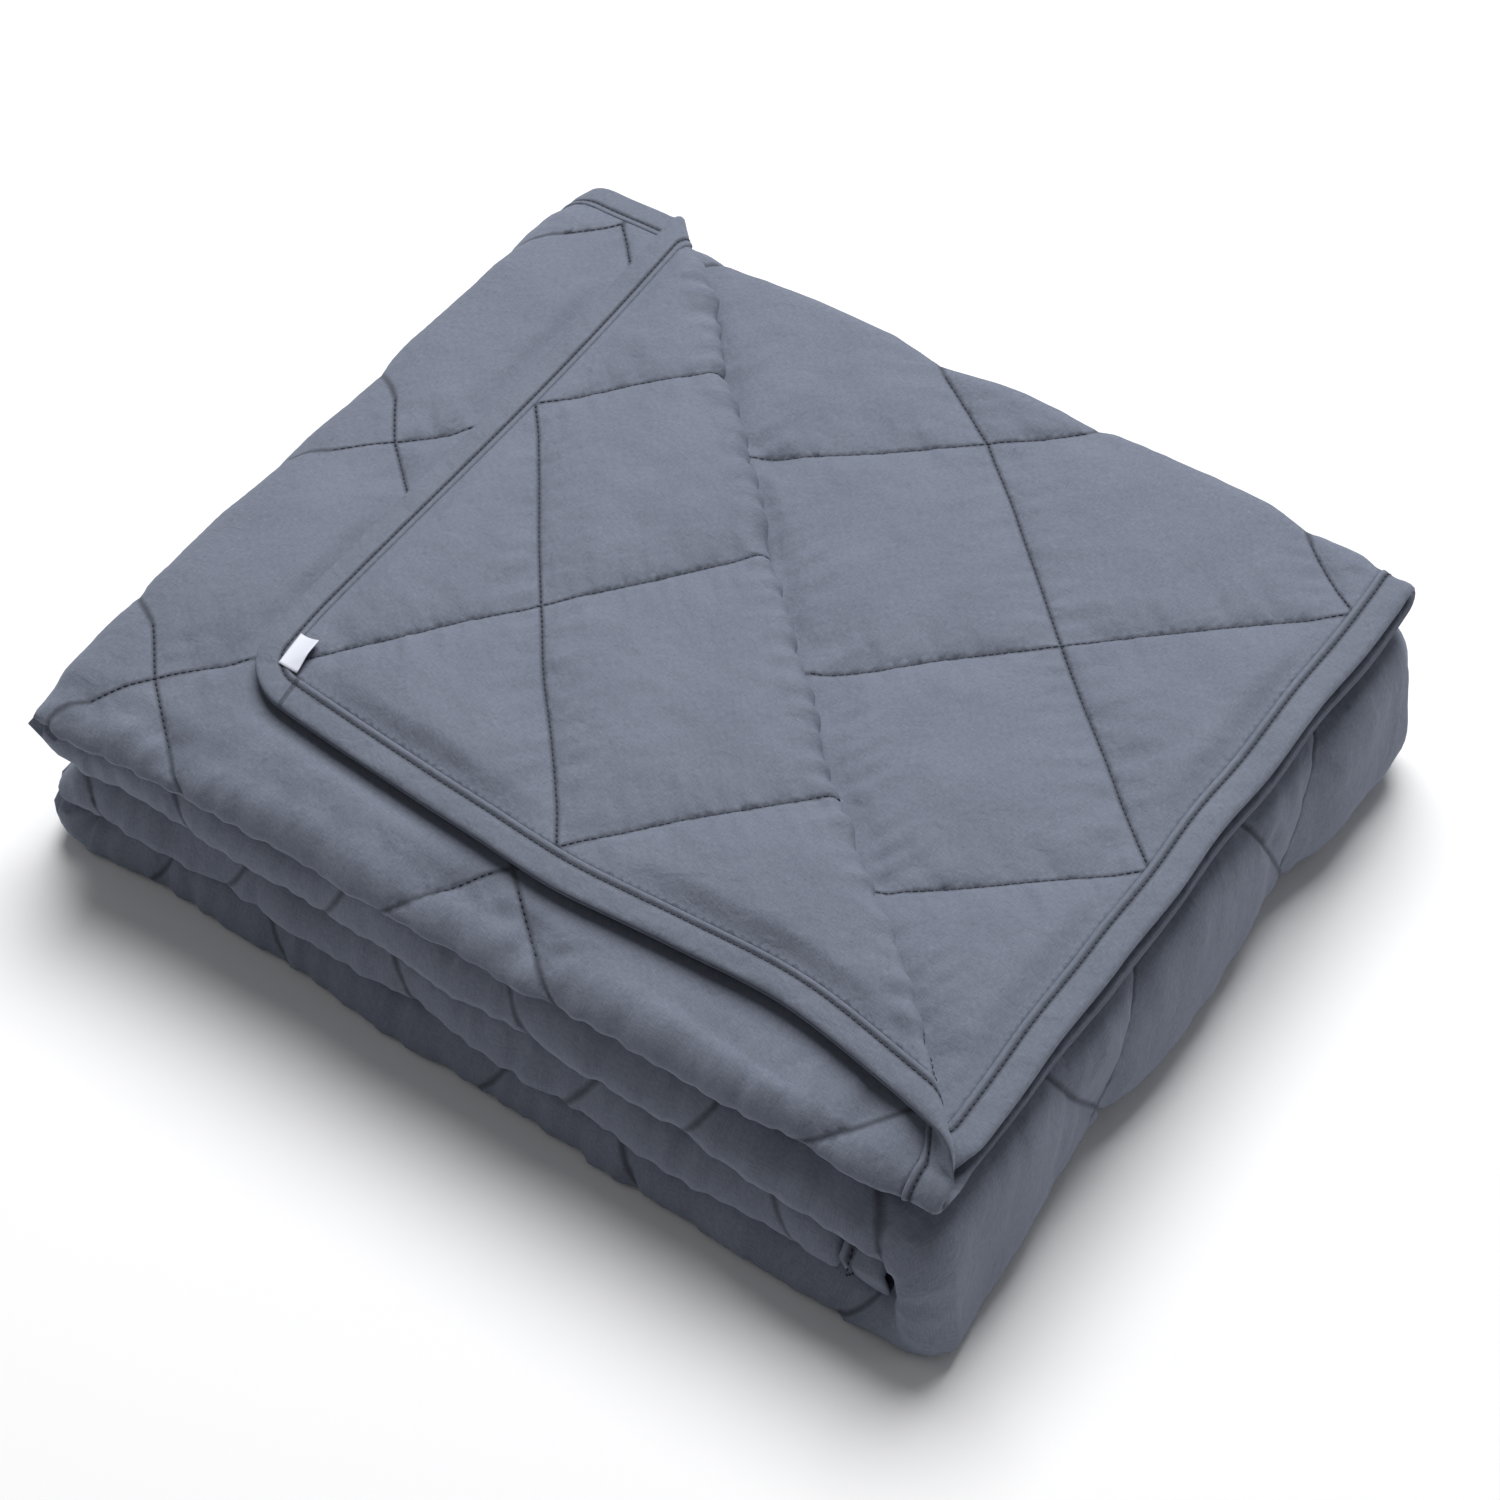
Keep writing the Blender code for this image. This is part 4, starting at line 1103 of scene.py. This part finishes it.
for piece, slot in (
    (cloth, "quilted_cloth"),
    (seamRows, "quilted_cloth"),
    (strip, "binding_cloth"),
    (stripRows, "binding_cloth"),
    (tab, "label_ribbon"),
):
    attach(piece, "root")
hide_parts("quilted_blanket")
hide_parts("edge_binding")
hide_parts("corner_label")
floorName = "studio_floor"


# Floor, light and camera

studio = {
    "floorSize": 30.0,
    "sky": 0.14,
    "key": {"place": (-0.4, 1.15, 2.8), "size": 2.2, "power": 111.0},
    "fill": {"place": (-2.4, -1.2, 1.8), "size": 1.6, "power": 5.0},
    "side": {"place": (2.6, 0.7, 0.9), "size": 1.4, "power": 6.0},
}
camera = {
    "place": (738.9 * mm, -950.9 * mm, 1312.4 * mm),
    "bearing": 37.43,
    "height": 46.86,
    "roll": -3.04,
    "focal": 3807.12,  # pixels on the 1500-pixel frame
    "frame": 1500,
}


def makeStudio():
    half = studio["floorSize"] / 2
    mesh = bpy.data.meshes.new(floorName)
    corners = [(-half, -half, 0), (half, -half, 0), (half, half, 0), (-half, half, 0)]
    mesh.from_pydata(corners, [], [(0, 1, 2, 3)])
    floor = bpy.data.objects.new(floorName, mesh)
    bpy.context.scene.collection.objects.link(floor)
    made, tree = newMaterial("pale_floor")
    shader = addNode(
        tree, "ShaderNodeBsdfPrincipled", {"Base Color": linear(colours["floor"]), "Roughness": 0.9}
    )
    addNode(tree, "ShaderNodeOutputMaterial", {"Surface": shader.outputs["BSDF"]})
    mesh.materials.append(made)
    for name in ("key", "fill", "side"):
        given = studio[name]
        lamp = bpy.data.lights.new(name, "AREA")
        lamp.shape, lamp.size, lamp.energy = "DISK", given["size"], given["power"]
        holder = bpy.data.objects.new(name, lamp)
        holder.location = given["place"]
        holder.rotation_euler = (-Vector(given["place"])).to_track_quat("-Z", "Y").to_euler()
        bpy.context.scene.collection.objects.link(holder)
    world = bpy.data.worlds.new("soft_daylight")
    world.use_nodes = True
    backdrop = world.node_tree.nodes["Background"]
    backdrop.inputs["Color"].default_value = (1, 1, 1, 1)
    backdrop.inputs["Strength"].default_value = studio["sky"]
    bpy.context.scene.world = world


def makeCamera():
    bearing, height, roll = (math.radians(camera[name]) for name in ("bearing", "height", "roll"))
    forward = Vector(
        (-math.sin(bearing) * math.cos(height), math.cos(bearing) * math.cos(height), -math.sin(height))
    )
    right = Vector((math.cos(bearing), math.sin(bearing), 0))
    up = right.cross(forward)
    across = right * math.cos(roll) + up * math.sin(roll)
    upright = up * math.cos(roll) - right * math.sin(roll)
    lens = bpy.data.cameras.new("photo_view")
    lens.sensor_width = 36
    lens.lens = lens.sensor_width * camera["focal"] / camera["frame"]
    eye = bpy.data.objects.new("photo_view", lens)
    turned = Matrix((across, upright, -forward)).transposed().to_4x4()
    eye.matrix_world = Matrix.Translation(camera["place"]) @ turned
    bpy.context.scene.collection.objects.link(eye)
    bpy.context.scene.camera = eye


makeStudio()
makeCamera()
bpy.context.scene.view_settings.view_transform = "Standard"
print("studio and camera made")
